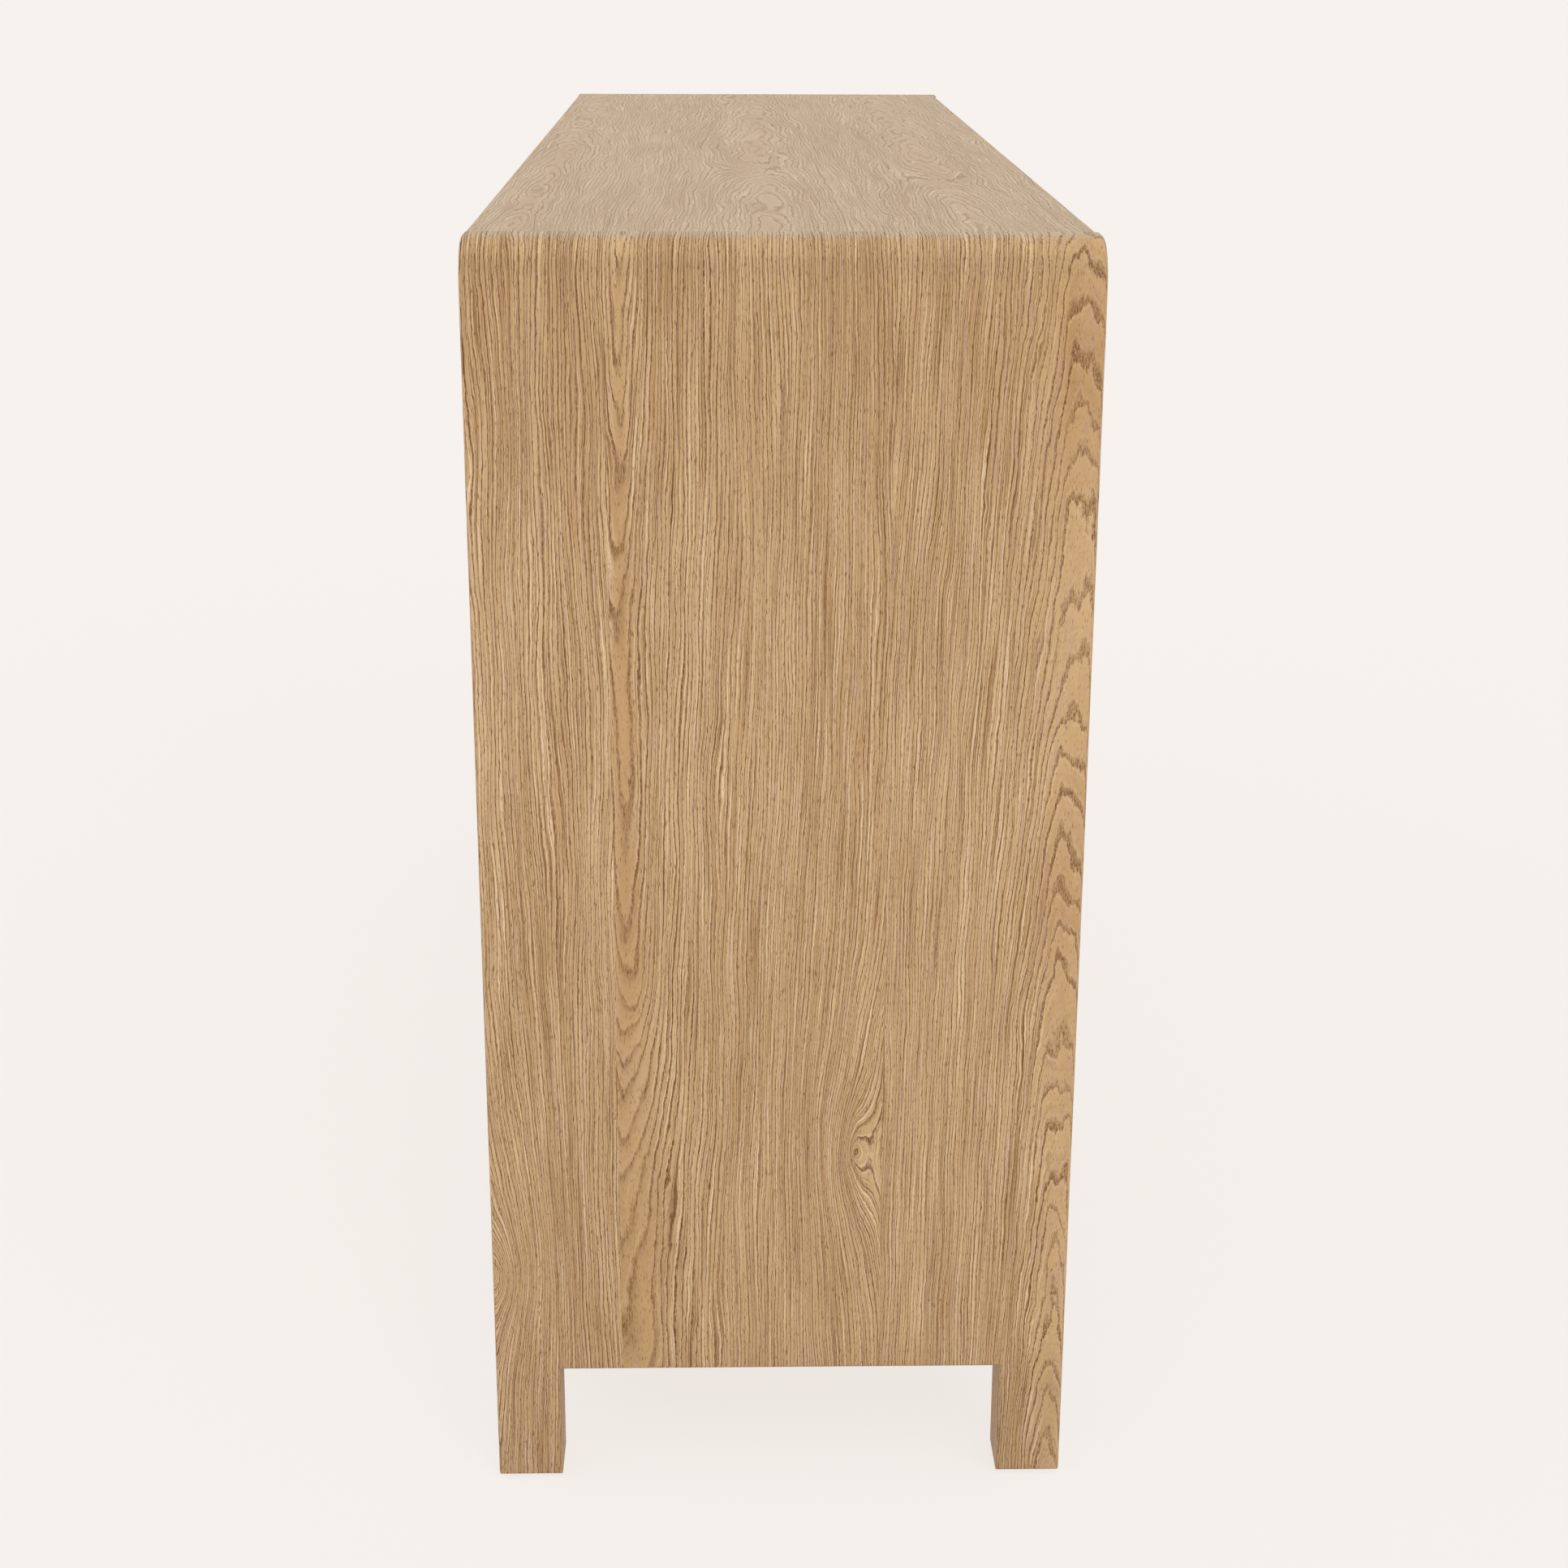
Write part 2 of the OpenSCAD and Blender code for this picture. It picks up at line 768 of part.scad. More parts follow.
end_panel();  // left_end_panel
mirror([1, 0, 0]) end_panel();  // right_end_panel
top_panel();
base_panel();
divider();  // left_divider
mirror([1, 0, 0]) divider();  // right_divider
back_panel();
shelf();  // left_shelf
mirror([1, 0, 0]) shelf();  // right_shelf
color(steel) both_sides() pin_set([shelf_hole], 0, pin_out);  // shelf_pins
door_stop();  // left_door_stop
mirror([1, 0, 0]) door_stop();  // right_door_stop
color(steel) both_sides() magnets(0);  // door_magnets
color(steel) both_sides() at_pivots() frame_leaf();  // frame_hinges
color(steel) both_sides() at_pivots() leaf_screws();  // frame_hinge_screws
cabinet_runners();
color(steel) runner_screw_set();  // runner_screws
color(birch) {  // dowels
    end_dowels();
    divider_dowels();
}
color(steel) cam_bolt_set();  // cam_bolts
color(steel) difference() {  // cam_locks
    cam_lock_set();
    cam_bolt_set(fit);
}
color(steel) back_screw_set();  // back_screws
glide_spots() leg_glide();  // leg_glides

for (side = [0, 1]) {
    name = side == 0 ? "left" : "right";
    mirror([side, 0, 0]) door();
    mirror([side, 0, 0]) color(steel) at_pivots() door_leaf();
    mirror([side, 0, 0]) color(steel) at_pivots()
            translate([0, 0, front_gap]) mirror([0, 0, 1]) leaf_screws();
    mirror([side, 0, 0]) color(steel) strikes(0);
}

for (i = [0 : lowest]) {
    name = str(drawer_names[i], "_drawer_");
    drawer_front(i);
    drawer_cross(i, inside_y);
    drawer_side(i);
    mirror([1, 0, 0]) drawer_side(i);
    drawer_cross(i, inside_y + box_l - board_t);
    drawer_bottom(i);
    drawer_slides(i);
    color(steel) {
        front_screws(i);
        slide_screws(i);
    }
    color(steel) runner_pair(i) middle_section();
}
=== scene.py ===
# Oak sideboard: looks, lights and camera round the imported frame
import json
import math

import bmesh
import bpy
from mathutils import Matrix, Vector


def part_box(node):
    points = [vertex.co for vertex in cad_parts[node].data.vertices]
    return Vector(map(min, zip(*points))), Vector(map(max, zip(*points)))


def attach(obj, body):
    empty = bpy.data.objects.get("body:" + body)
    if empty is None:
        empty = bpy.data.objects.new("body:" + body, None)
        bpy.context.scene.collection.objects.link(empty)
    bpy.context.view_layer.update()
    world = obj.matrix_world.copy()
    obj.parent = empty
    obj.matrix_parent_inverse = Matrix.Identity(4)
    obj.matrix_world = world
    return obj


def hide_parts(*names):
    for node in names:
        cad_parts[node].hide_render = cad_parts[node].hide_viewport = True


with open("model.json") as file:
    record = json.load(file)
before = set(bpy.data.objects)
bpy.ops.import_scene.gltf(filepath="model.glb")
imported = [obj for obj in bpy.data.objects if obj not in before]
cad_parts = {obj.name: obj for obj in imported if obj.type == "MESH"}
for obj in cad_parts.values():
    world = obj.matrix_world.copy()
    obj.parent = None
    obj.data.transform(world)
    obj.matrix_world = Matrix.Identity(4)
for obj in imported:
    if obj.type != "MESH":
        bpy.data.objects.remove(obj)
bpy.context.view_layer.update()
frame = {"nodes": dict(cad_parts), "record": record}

nodes = frame["nodes"]
record = frame["record"]
slotOf = {part["node"]: part["material_slot"] for part in record["subparts"]}
bodyOf = {node: body for body, held in record["behaviour"]["bodies"].items() for node in held}
perMetre = 1000.0  # the sizes of patterns are in millimetres
print("frame loaded:", len(nodes), "nodes")


# Small helpers for shader trees

# how a screen's steps from 0 to 255 stand for light: a straight toe, and a power above it
screenCurve = {"full": 255, "toe": 0.04045, "toeSlope": 12.92, "offset": 0.055, "scale": 1.055, "power": 2.4}


def linear(red, green, blue):
    # a colour as a screen shows it, as the shader wants it
    def channel(value):
        share = value / screenCurve["full"]
        if share <= screenCurve["toe"]:
            return share / screenCurve["toeSlope"]
        return ((share + screenCurve["offset"]) / screenCurve["scale"]) ** screenCurve["power"]
    return (channel(red), channel(green), channel(blue), 1.0)


def tonesOf(look, *names):
    # a look's colours, under the names of a group's inputs
    return {name: linear(*look[name.lower()]) for name in names}


def addNode(tree, kind, **settings):
    node = tree.nodes.new(kind)
    for key, value in settings.items():
        setattr(node, key, value)
    return node


def feed(tree, socket, value):
    # a socket is linked, anything else is set as the input's own value
    if isinstance(value, bpy.types.NodeSocket):
        tree.links.new(value, socket)
    else:
        socket.default_value = value


def maths(tree, operation, *inputs, kind="ShaderNodeMath"):
    node = addNode(tree, kind, operation=operation)
    for socket, value in zip(node.inputs, inputs):
        feed(tree, socket, value)
    return node.outputs[0]


def product(tree, *factors):
    result = factors[0]
    for factor in factors[1:]:
        result = maths(tree, "MULTIPLY", result, factor)
    return result


def total(tree, *terms):
    result = terms[0]
    for term in terms[1:]:
        result = maths(tree, "ADD", result, term)
    return result


def distance(tree, aside, ahead):
    return maths(tree, "SQRT", total(tree, product(tree, aside, aside), product(tree, ahead, ahead)))


mixSockets = {"RGBA": (6, 7, 2), "VECTOR": (4, 5, 1)}  # a Mix node's two inputs and its output, by kind


def blend(tree, factor, first, second, mode="MIX", kind="RGBA"):
    firstInput, secondInput, output = mixSockets[kind]
    node = addNode(tree, "ShaderNodeMix", data_type=kind, blend_type=mode)
    feed(tree, node.inputs[0], factor)
    feed(tree, node.inputs[firstInput], first)
    feed(tree, node.inputs[secondInput], second)
    return node.outputs[output]


def remap(tree, value, fromLow, fromHigh, toLow=0.0, toHigh=1.0, smooth=False):
    node = addNode(tree, "ShaderNodeMapRange", clamp=True)
    if smooth:
        node.interpolation_type = "SMOOTHSTEP"
    for socket, number in zip(node.inputs, (value, fromLow, fromHigh, toLow, toHigh)):
        feed(tree, socket, number)
    return node.outputs[0]


def ramp(tree, value, stops):
    # greys at places from 0 to 1
    node = addNode(tree, "ShaderNodeValToRGB")
    feed(tree, node.inputs[0], value)
    elements = node.color_ramp.elements
    elements.remove(elements[1])
    elements[0].position = stops[0][0]
    elements[0].color = (*[stops[0][1]] * 3, 1.0)
    for place, grey in stops[1:]:
        elements.new(place).color = (grey, grey, grey, 1.0)
    return node.outputs[0]


def joined(tree, across, through, along):
    node = addNode(tree, "ShaderNodeCombineXYZ")
    for socket, value in zip(node.inputs, (across, through, along)):
        feed(tree, socket, value)
    return node.outputs[0]


def axisParts(tree, vector):
    node = addNode(tree, "ShaderNodeSeparateXYZ")
    feed(tree, node.inputs[0], vector)
    return dict(zip("XYZ", node.outputs))


def colourParts(tree, colour):
    node = addNode(tree, "ShaderNodeSeparateColor")
    feed(tree, node.inputs[0], colour)
    return node.outputs


def stretched(tree, vector, across, along):
    # the place in units of a mark so wide and so long
    return maths(tree, "MULTIPLY", vector, (1 / across, 1 / across, 1 / along), kind="ShaderNodeVectorMath")


def noise(tree, vector, seed, mark, output=0):
    # the vector is already in the mark's own scale
    node = addNode(tree, "ShaderNodeTexNoise", noise_dimensions="4D")
    feed(tree, node.inputs["Vector"], vector)
    feed(tree, node.inputs["W"], seed)
    node.inputs["Scale"].default_value = 1.0
    node.inputs["Detail"].default_value = mark["detail"]
    node.inputs["Roughness"].default_value = mark["rough"]
    return node.outputs[output]


def cloud(tree, vector, seed, mark, output=0):
    # noise as wide and as long as the mark's size
    return noise(tree, stretched(tree, vector, *mark["size"]), seed, mark, output)


def centred(tree, value, reach):
    # noise from 0 to 1 as a shift of up to half the reach either way
    return product(tree, maths(tree, "SUBTRACT", value, 0.5), reach)


def newGroup(name, inputs, outputs):
    # inputs and outputs list the sockets' names by their kind
    tree = bpy.data.node_groups.new(name, "ShaderNodeTree")
    for way, kinds in (("INPUT", inputs), ("OUTPUT", outputs)):
        for kind, labels in kinds.items():
            for label in labels:
                tree.interface.new_socket(name=label, in_out=way, socket_type="NodeSocket" + kind)
    entry = tree.nodes.new("NodeGroupInput")
    leave = tree.nodes.new("NodeGroupOutput")
    return tree, entry.outputs, leave.inputs


def placeGroup(tree, group, **values):
    node = addNode(tree, "ShaderNodeGroup", node_tree=group)
    for label, value in values.items():
        feed(tree, node.inputs[label], value)
    return node.outputs


def newMaterial(name):
    material = bpy.data.materials.new(name)
    material.use_nodes = True
    return material, material.node_tree, material.node_tree.nodes["Principled BSDF"]


def dress(tree, shader, colour, roughness, height, relief, depth=0.0003):
    # depth is the relief's own height in metres, relief how much of it shows
    feed(tree, shader.inputs["Base Color"], colour)
    feed(tree, shader.inputs["Roughness"], roughness)
    bump = addNode(tree, "ShaderNodeBump")
    bump.inputs["Strength"].default_value = relief
    bump.inputs["Distance"].default_value = depth
    feed(tree, bump.inputs["Height"], height)
    feed(tree, shader.inputs["Normal"], bump.outputs[0])


# The growth rings of a log, cut by the board: X, Y and Z run across, through and along the board.
# In the dictionaries of marks, size is a mark's width and length in millimetres, and cut says where its noise
# starts to show and where it shows in full, then the least and the most that it gives, if not 0 and 1

ringMarks = {
    "slow": {"size": (60.0, 330.0), "detail": 2.0, "rough": 0.5},
    "mid": {"size": (17.0, 75.0), "detail": 2.0, "rough": 0.5},
    "fine": {"size": (3.6, 11.0), "detail": 2.0, "rough": 0.5},
    "unevenEvery": 9.0,
    "unevenBy": 2.4,
}


def makeRingsGroup(marks):
    tree, given, out = newGroup(
        "growthRings",
        {"Vector": ["Vector"],
         "Float": ["Centre", "Depth", "Taper", "Spacing", "Wander", "Curl", "Wiggle", "Bend", "Seed"]},
        {"Float": ["Phase", "Ring", "Radius", "Steep"]})
    vector, seed, wander = given["Vector"], given["Seed"], given["Wander"]
    place = axisParts(tree, vector)
    drift = colourParts(tree, cloud(tree, vector, seed, marks["slow"], "Color"))
    across = total(tree, maths(tree, "SUBTRACT", place["X"], given["Centre"]),
                   centred(tree, drift[0], wander))
    deep = total(tree, place["Y"], given["Depth"], centred(tree, drift[1], wander),
                 product(tree, place["Z"], given["Taper"]))
    straight = distance(tree, across, deep)
    radius = total(tree, straight, given["Bend"],
                   centred(tree, cloud(tree, vector, seed, marks["mid"]), given["Curl"]),
                   centred(tree, cloud(tree, vector, seed, marks["fine"]), given["Wiggle"]))

    # some years grow faster than others
    uneven = addNode(tree, "ShaderNodeTexNoise", noise_dimensions="1D")
    feed(tree, uneven.inputs["W"], total(tree, maths(tree, "DIVIDE", radius, marks["unevenEvery"]), seed))
    uneven.inputs["Scale"].default_value = 1.0
    spread = total(tree, radius, centred(tree, uneven.outputs[0], marks["unevenBy"]))
    count = maths(tree, "DIVIDE", spread, given["Spacing"])
    feed(tree, out["Phase"], maths(tree, "FRACT", count))
    feed(tree, out["Ring"], maths(tree, "FLOOR", count))
    feed(tree, out["Radius"], radius)
    feed(tree, out["Steep"], maths(tree, "DIVIDE", maths(tree, "ABSOLUTE", across), straight))
    return tree


# A knot just under the veneer, which the rings run round

def makeKnotGroup():
    tree, given, out = newGroup(
        "knot",
        {"Vector": ["Vector"], "Float": ["Across", "Along", "Width", "Length", "Push"]},
        {"Float": ["Bend"]})
    place = axisParts(tree, given["Vector"])
    aside = maths(tree, "DIVIDE", maths(tree, "SUBTRACT", place["X"], given["Across"]), given["Width"])
    ahead = maths(tree, "DIVIDE", maths(tree, "SUBTRACT", place["Z"], given["Along"]), given["Length"])
    sheenFade = maths(tree, "EXPONENT", product(tree, distance(tree, aside, ahead), -1.0))
    feed(tree, out["Bend"], product(tree, sheenFade, given["Push"]))
    return tree


# The surface of brushed and oiled oak over those rings

oakMarks = {
    # how far each shows over one ring, from its early wood to the next ring's
    "early": [(0.0, 0.0), (0.06, 1.0), (0.18, 0.85), (0.34, 0.12), (0.55, 0.0), (1.0, 0.0)],
    # lip is a painted highlight just beside each ring's early line
    "lip": [(0.0, 0.45), (0.05, 0.0), (0.24, 0.0), (0.36, 0.6), (0.5, 0.0), (0.86, 0.0), (0.97, 0.5)],
    "arch": [(0.0, 0.3), (0.16, 1.0), (0.6, 0.15), (0.85, 0.0), (1.0, 0.3)],
    "heldCut": (0.05, 0.45),
    "asideCut": (0.15, 0.7, 0.1, 1.0),
    "chanceCut": (0.0, 1.0, 0.62, 1.0),
    "patch": {"width": 5.2, "detail": 4.0, "rough": 0.6, "cut": (0.36, 0.54, 0.5, 1.0)},
    "bead": {"size": (0.9, 2.2), "detail": 1.0, "rough": 0.5, "cut": (0.35, 0.6), "least": 0.5, "most": 1.05},
    "furrow": {"width": 0.42, "detail": 3.0, "rough": 0.6, "cut": (0.46, 0.38), "ridgeCut": (0.54, 0.62)},
    "pore": {"size": (0.45, 4.5), "detail": 1.0, "rough": 0.4, "cut": (0.62, 0.7), "crowd": 0.1},
    "tone": {"size": (26.0, 240.0), "detail": 3.0, "rough": 0.55, "cut": (0.32, 0.68)},
    "hue": {"size": (1.7, 38.0), "detail": 2.0, "rough": 0.5, "cut": (0.52, 0.66, 0.0, 0.7), "apart": 7.3},
    "run": (90.0, 95.0),  # how far marks along the rings hold their course, across and along the board
    # how strongly each is laid on, how much duller it makes the surface, and how high or deep it lies
    "paint": {"ridge": 0.8, "arch": 0.34, "furrow": 0.6, "line": 0.95, "pore": 0.6},
    "roughness": {"base": 0.5, "pore": 0.12, "line": 0.1},
    "height": {"ridge": 0.3, "pore": 0.4, "furrow": 0.4, "line": 0.8},
}


def makeOakGroup(marks):
    tree, given, out = newGroup(
        "oakSurface",
        {"Vector": ["Vector"], "Color": ["Pale", "Mid", "Ridge", "Dark", "Pore", "Rose"],
         "Float": ["Phase", "Ring", "Radius", "Steep", "Contrast", "Calm", "Seed"]},
        {"Color": ["Color"], "Float": ["Roughness", "Height"]})
    vector, seed, contrast = given["Vector"], given["Seed"], given["Contrast"]
    place = axisParts(tree, vector)

    def alongRings(mark):
        # noise by the distance from the heart, so that its marks run with the rings
        across, along = marks["run"]
        scaled = joined(tree, maths(tree, "DIVIDE", given["Radius"], mark["width"]),
                        maths(tree, "DIVIDE", place["X"], across), maths(tree, "DIVIDE", place["Z"], along))
        return noise(tree, scaled, seed, mark)

    def painted(ground, tone, *masks):
        return blend(tree, product(tree, *masks), ground, given[tone])

    # both are 1 beside the heart and fall over it, held as far as the leaf's calm says
    held = remap(tree, given["Steep"], *marks["heldCut"], maths(tree, "SUBTRACT", 1.0, given["Calm"]), 1.0,
                 smooth=True)
    aside = remap(tree, given["Steep"], *marks["asideCut"], smooth=True)

    # the early wood opens each ring, as a dark line that comes and goes
    early = ramp(tree, given["Phase"], marks["early"])
    chance = addNode(tree, "ShaderNodeTexWhiteNoise", noise_dimensions="2D")
    feed(tree, chance.inputs["Vector"], joined(tree, given["Ring"], seed, 0.0))
    bead = marks["bead"]
    beads = remap(tree, cloud(tree, vector, seed, bead), *bead["cut"], product(tree, aside, bead["least"]),
                  bead["most"])
    force = product(tree, remap(tree, chance.outputs[0], *marks["chanceCut"]),
                    remap(tree, alongRings(marks["patch"]), *marks["patch"]["cut"]), held, beads)
    line = product(tree, early, force)

    # over the heart the saw runs along the rings, which show there as broad soft arches
    arches = product(tree, ramp(tree, given["Phase"], marks["arch"]), maths(tree, "SUBTRACT", 1.0, aside),
                     given["Calm"])

    # finer furrows between, and beside them raised fibres that carry a painted highlight
    furrow = alongRings(marks["furrow"])
    furrows = product(tree, remap(tree, furrow, *marks["furrow"]["cut"], smooth=True), aside)
    litRidges = product(tree, remap(tree, furrow, *marks["furrow"]["ridgeCut"], smooth=True), aside)
    lips = product(tree, ramp(tree, given["Phase"], marks["lip"]), force)

    # open pores, short thin dashes along the grain that crowd in the early wood
    pore = marks["pore"]
    crowded = total(tree, cloud(tree, vector, seed, pore), product(tree, early, pore["crowd"]))
    pores = remap(tree, crowded, *pore["cut"], smooth=True)

    tone = remap(tree, cloud(tree, vector, seed, marks["tone"]), *marks["tone"]["cut"], smooth=True)
    hueSeed = total(tree, seed, marks["hue"]["apart"])
    hue = remap(tree, cloud(tree, vector, hueSeed, marks["hue"]), *marks["hue"]["cut"], smooth=True)
    paint = marks["paint"]
    colour = blend(tree, tone, given["Mid"], given["Pale"])
    colour = painted(colour, "Rose", hue)
    # painted highlight on the raised fibres and beside the early lines
    colour = painted(colour, "Ridge", maths(tree, "MAXIMUM", product(tree, litRidges, paint["ridge"]), lips))
    colour = painted(colour, "Dark", arches, paint["arch"], contrast)
    colour = painted(colour, "Dark", furrows, paint["furrow"], contrast)
    colour = painted(colour, "Dark", line, paint["line"], contrast)
    colour = painted(colour, "Pore", pores, paint["pore"], contrast)
    feed(tree, out["Color"], colour)

    rough, height = marks["roughness"], marks["height"]
    dull = total(tree, product(tree, pores, rough["pore"]), product(tree, line, rough["line"]))
    feed(tree, out["Roughness"], total(tree, rough["base"], dull))
    sunk = total(tree, product(tree, pores, height["pore"]), product(tree, furrows, height["furrow"]),
                 product(tree, line, height["line"]))
    feed(tree, out["Height"], maths(tree, "SUBTRACT", product(tree, litRidges, height["ridge"]), sunk))
    return tree


ringsGroup = makeRingsGroup(ringMarks)
knotGroup = makeKnotGroup()
oakGroup = makeOakGroup(oakMarks)
print("oak shader groups built")


# Where a point lies in its board, in millimetres

stripShift = 900.0  # the strips on a board's narrow sides come from so much deeper in the log


def objectPlace(tree):
    coordinates = addNode(tree, "ShaderNodeTexCoord")
    mapping = addNode(tree, "ShaderNodeMapping")
    mapping.inputs["Scale"].default_value = (perMetre, perMetre, perMetre)
    feed(tree, mapping.inputs["Vector"], coordinates.outputs["Object"])
    return axisParts(tree, mapping.outputs[0])


def facing(tree, axis, low=0.7, high=0.71):
    # 1 where the surface faces along the axis, either way, and 0 where it doesn't: the two part at 45 degrees
    coordinates = addNode(tree, "ShaderNodeTexCoord")
    normal = axisParts(tree, coordinates.outputs["Normal"])
    return remap(tree, maths(tree, "ABSOLUTE", normal[axis]), low, high)


def edgeBanded(tree, axes, across, through, along):
    # a veneered board: its narrow sides carry strips whose grain runs along them
    strip = total(tree, through, stripShift)
    face = joined(tree, across, through, along)
    side = joined(tree, strip, 0.0, along)
    end = joined(tree, strip, 0.0, across)
    sided = blend(tree, facing(tree, axes[0]), face, side, kind="VECTOR")
    return blend(tree, facing(tree, axes[2]), sided, end, kind="VECTOR")


def boardPlace(tree, axes, solid):
    # axes names the part's axes across, through and along the board, such as "YZX"
    place = objectPlace(tree)
    across, through, along = [place[axis] for axis in axes]
    return joined(tree, across, through, along) if solid else edgeBanded(tree, axes, across, through, along)


def curledTop(tree, across, deep, along):
    # above the corner's centre a surface that faces up still shows the face's grain
    side = joined(tree, total(tree, deep, stripShift), 0.0, along)
    return blend(tree, facing(tree, "Y"), joined(tree, across, deep, along), side, kind="VECTOR")


def curledPlace(tree, size):
    # an end panel: along runs up the face, round the corner and over the top, and through is the
    # depth under that surface
    place = objectPlace(tree)
    radius, top = size["cornerRadius"], size["top"]
    inward = maths(tree, "SUBTRACT", size["halfLength"], maths(tree, "ABSOLUTE", place["X"]))
    beside = maths(tree, "MAXIMUM", maths(tree, "SUBTRACT", radius, inward), 0.0)
    above = maths(tree, "MAXIMUM", maths(tree, "SUBTRACT", place["Z"], top - radius), 0.0)
    beyond = product(tree, maths(tree, "MAXIMUM", maths(tree, "SUBTRACT", inward, radius), 0.0),
                     remap(tree, above, 0.0, size["easeIn"], 1.0, 0.0))
    deep = total(tree, maths(tree, "SUBTRACT", radius, distance(tree, beside, above)), beyond)
    turn = maths(tree, "ARCTAN2", above, beside)
    along = total(tree, maths(tree, "SUBTRACT", place["Z"], above), product(tree, turn, radius))
    flat = edgeBanded(tree, "YXZ", place["Y"], deep, along)
    onTop = maths(tree, "GREATER_THAN", place["Z"], top - radius)
    return blend(tree, onTop, flat, curledTop(tree, place["Y"], deep, along), kind="VECTOR")


# Oak veneer and solid oak

oakShine = {"ior": 1.45, "specular": 0.3}


def oakTonesAt(tree, along, look):
    tones = tonesOf(look, "Pale", "Mid", "Ridge", "Dark", "Pore", "Rose")
    if "sheenFade" not in look:
        return tones
    # painted sheen: round the corner the face's tones give way to the paler top tones, which stand in for a
    # grazing reflection of the bright room
    low, high, other = look["sheenFade"]
    reach = remap(tree, along, low, high, smooth=True)
    others = tonesOf(other, *tones)
    return {name: blend(tree, reach, tone, others[name]) for name, tone in tones.items()}


def paintedFaceShade(tree, colour, look):
    # painted shade: faces that look along X are painted darker towards the floor and in a band under the
    # corner, and warmer towards the top, as the light fell on them
    height = maths(tree, "DIVIDE", objectPlace(tree)["Z"], look["curl"]["top"])
    warmShade = remap(tree, height, look["warmShade"]["low"], look["warmShade"]["high"], smooth=True)
    shade = blend(tree, warmShade, ramp(tree, height, look["shadeByHeight"]), look["warmShade"]["tint"], "MULTIPLY")
    return blend(tree, facing(tree, "X", *look["faceCut"]), colour, shade, "MULTIPLY")


def makeOak(name, look):
    material, tree, shader = newMaterial(name)
    if "curl" in look:
        place = curledPlace(tree, look["curl"])
    else:
        place = boardPlace(tree, look["axes"], look["solid"])
    parts = axisParts(tree, place)
    leaves = look["leaves"]

    def byLeaf(values):
        # a value that changes from one leaf of veneer to the next
        result = values[0]
        for cut, before, after in zip(look["cuts"], values, values[1:]):
            past = maths(tree, "GREATER_THAN", parts["X"], cut)
            result = maths(tree, "MULTIPLY_ADD", past, after - before, result)
        return result

    own = {key: byLeaf([held[key] for held in leaves]) for key in leaves[0]}
    bend = 0.0
    for knot in look["knots"]:
        # a knot bends the rings of its own leaf alone
        push = byLeaf([knot["push"] if index == knot["leaf"] else 0.0 for index in range(len(leaves))])
        bent = placeGroup(tree, knotGroup, Vector=place, Across=knot["across"], Along=knot["along"],
                          Width=knot["width"], Length=knot["length"], Push=push)
        bend = total(tree, bend, bent["Bend"])
    rings = placeGroup(tree, ringsGroup, Vector=place, Centre=own["centre"], Depth=own["depth"],
                       Taper=own["taper"], Spacing=own["spacing"], Wander=own["wander"], Curl=look["curls"],
                       Wiggle=look["wiggle"], Bend=bend, Seed=own["seed"])
    oak = placeGroup(tree, oakGroup, Vector=place, Phase=rings["Phase"], Ring=rings["Ring"],
                     Radius=rings["Radius"], Steep=rings["Steep"], Contrast=look["contrast"],
                     Calm=own["calm"], Seed=own["seed"], **oakTonesAt(tree, parts["Z"], look))
    # the end panels get painted shade by height over their oak colour
    colour = paintedFaceShade(tree, oak["Color"], look) if "shadeByHeight" in look else oak["Color"]
    dress(tree, shader, colour, oak["Roughness"], oak["Height"], look["relief"])
    shader.inputs["IOR"].default_value = oakShine["ior"]
    shader.inputs["Specular IOR Level"].default_value = oakShine["specular"]
    return material


def leaf(centre, depth, taper, seed, spacing=2.35, wander=26.0, calm=0.7):
    # where the heart of the log lies under the leaf, how far apart the rings are and how far they wander;
    # calm is how much of its lines the leaf loses over the heart
    return {"centre": centre, "depth": depth, "taper": taper, "seed": seed, "spacing": spacing,
            "wander": wander, "calm": calm}


def knotAt(leafNumber, across, along, width, length, push):
    # push is how far it bends the rings, and below 0 it bends them the other way
    return {"leaf": leafNumber, "across": across, "along": along, "width": width, "length": length,
            "push": push}


# In a look, cuts are the seams between its leaves, in millimetres across the board, curls and wiggle are how
# far its rings stray in wide and in small waves, and sheenFade is where its tones turn into paler ones along
# the board, a painted sheen

# in both sets of tones, ridgelight is a painted highlight on the raised fibres
oakTones = {
    "pale": (207, 172, 125), "mid": (191, 153, 105), "ridge": (240, 213, 176), "dark": (115, 71, 29),
    "pore": (108, 68, 30), "rose": (197, 159, 134), "curls": 5.5, "wiggle": 1.25,
}
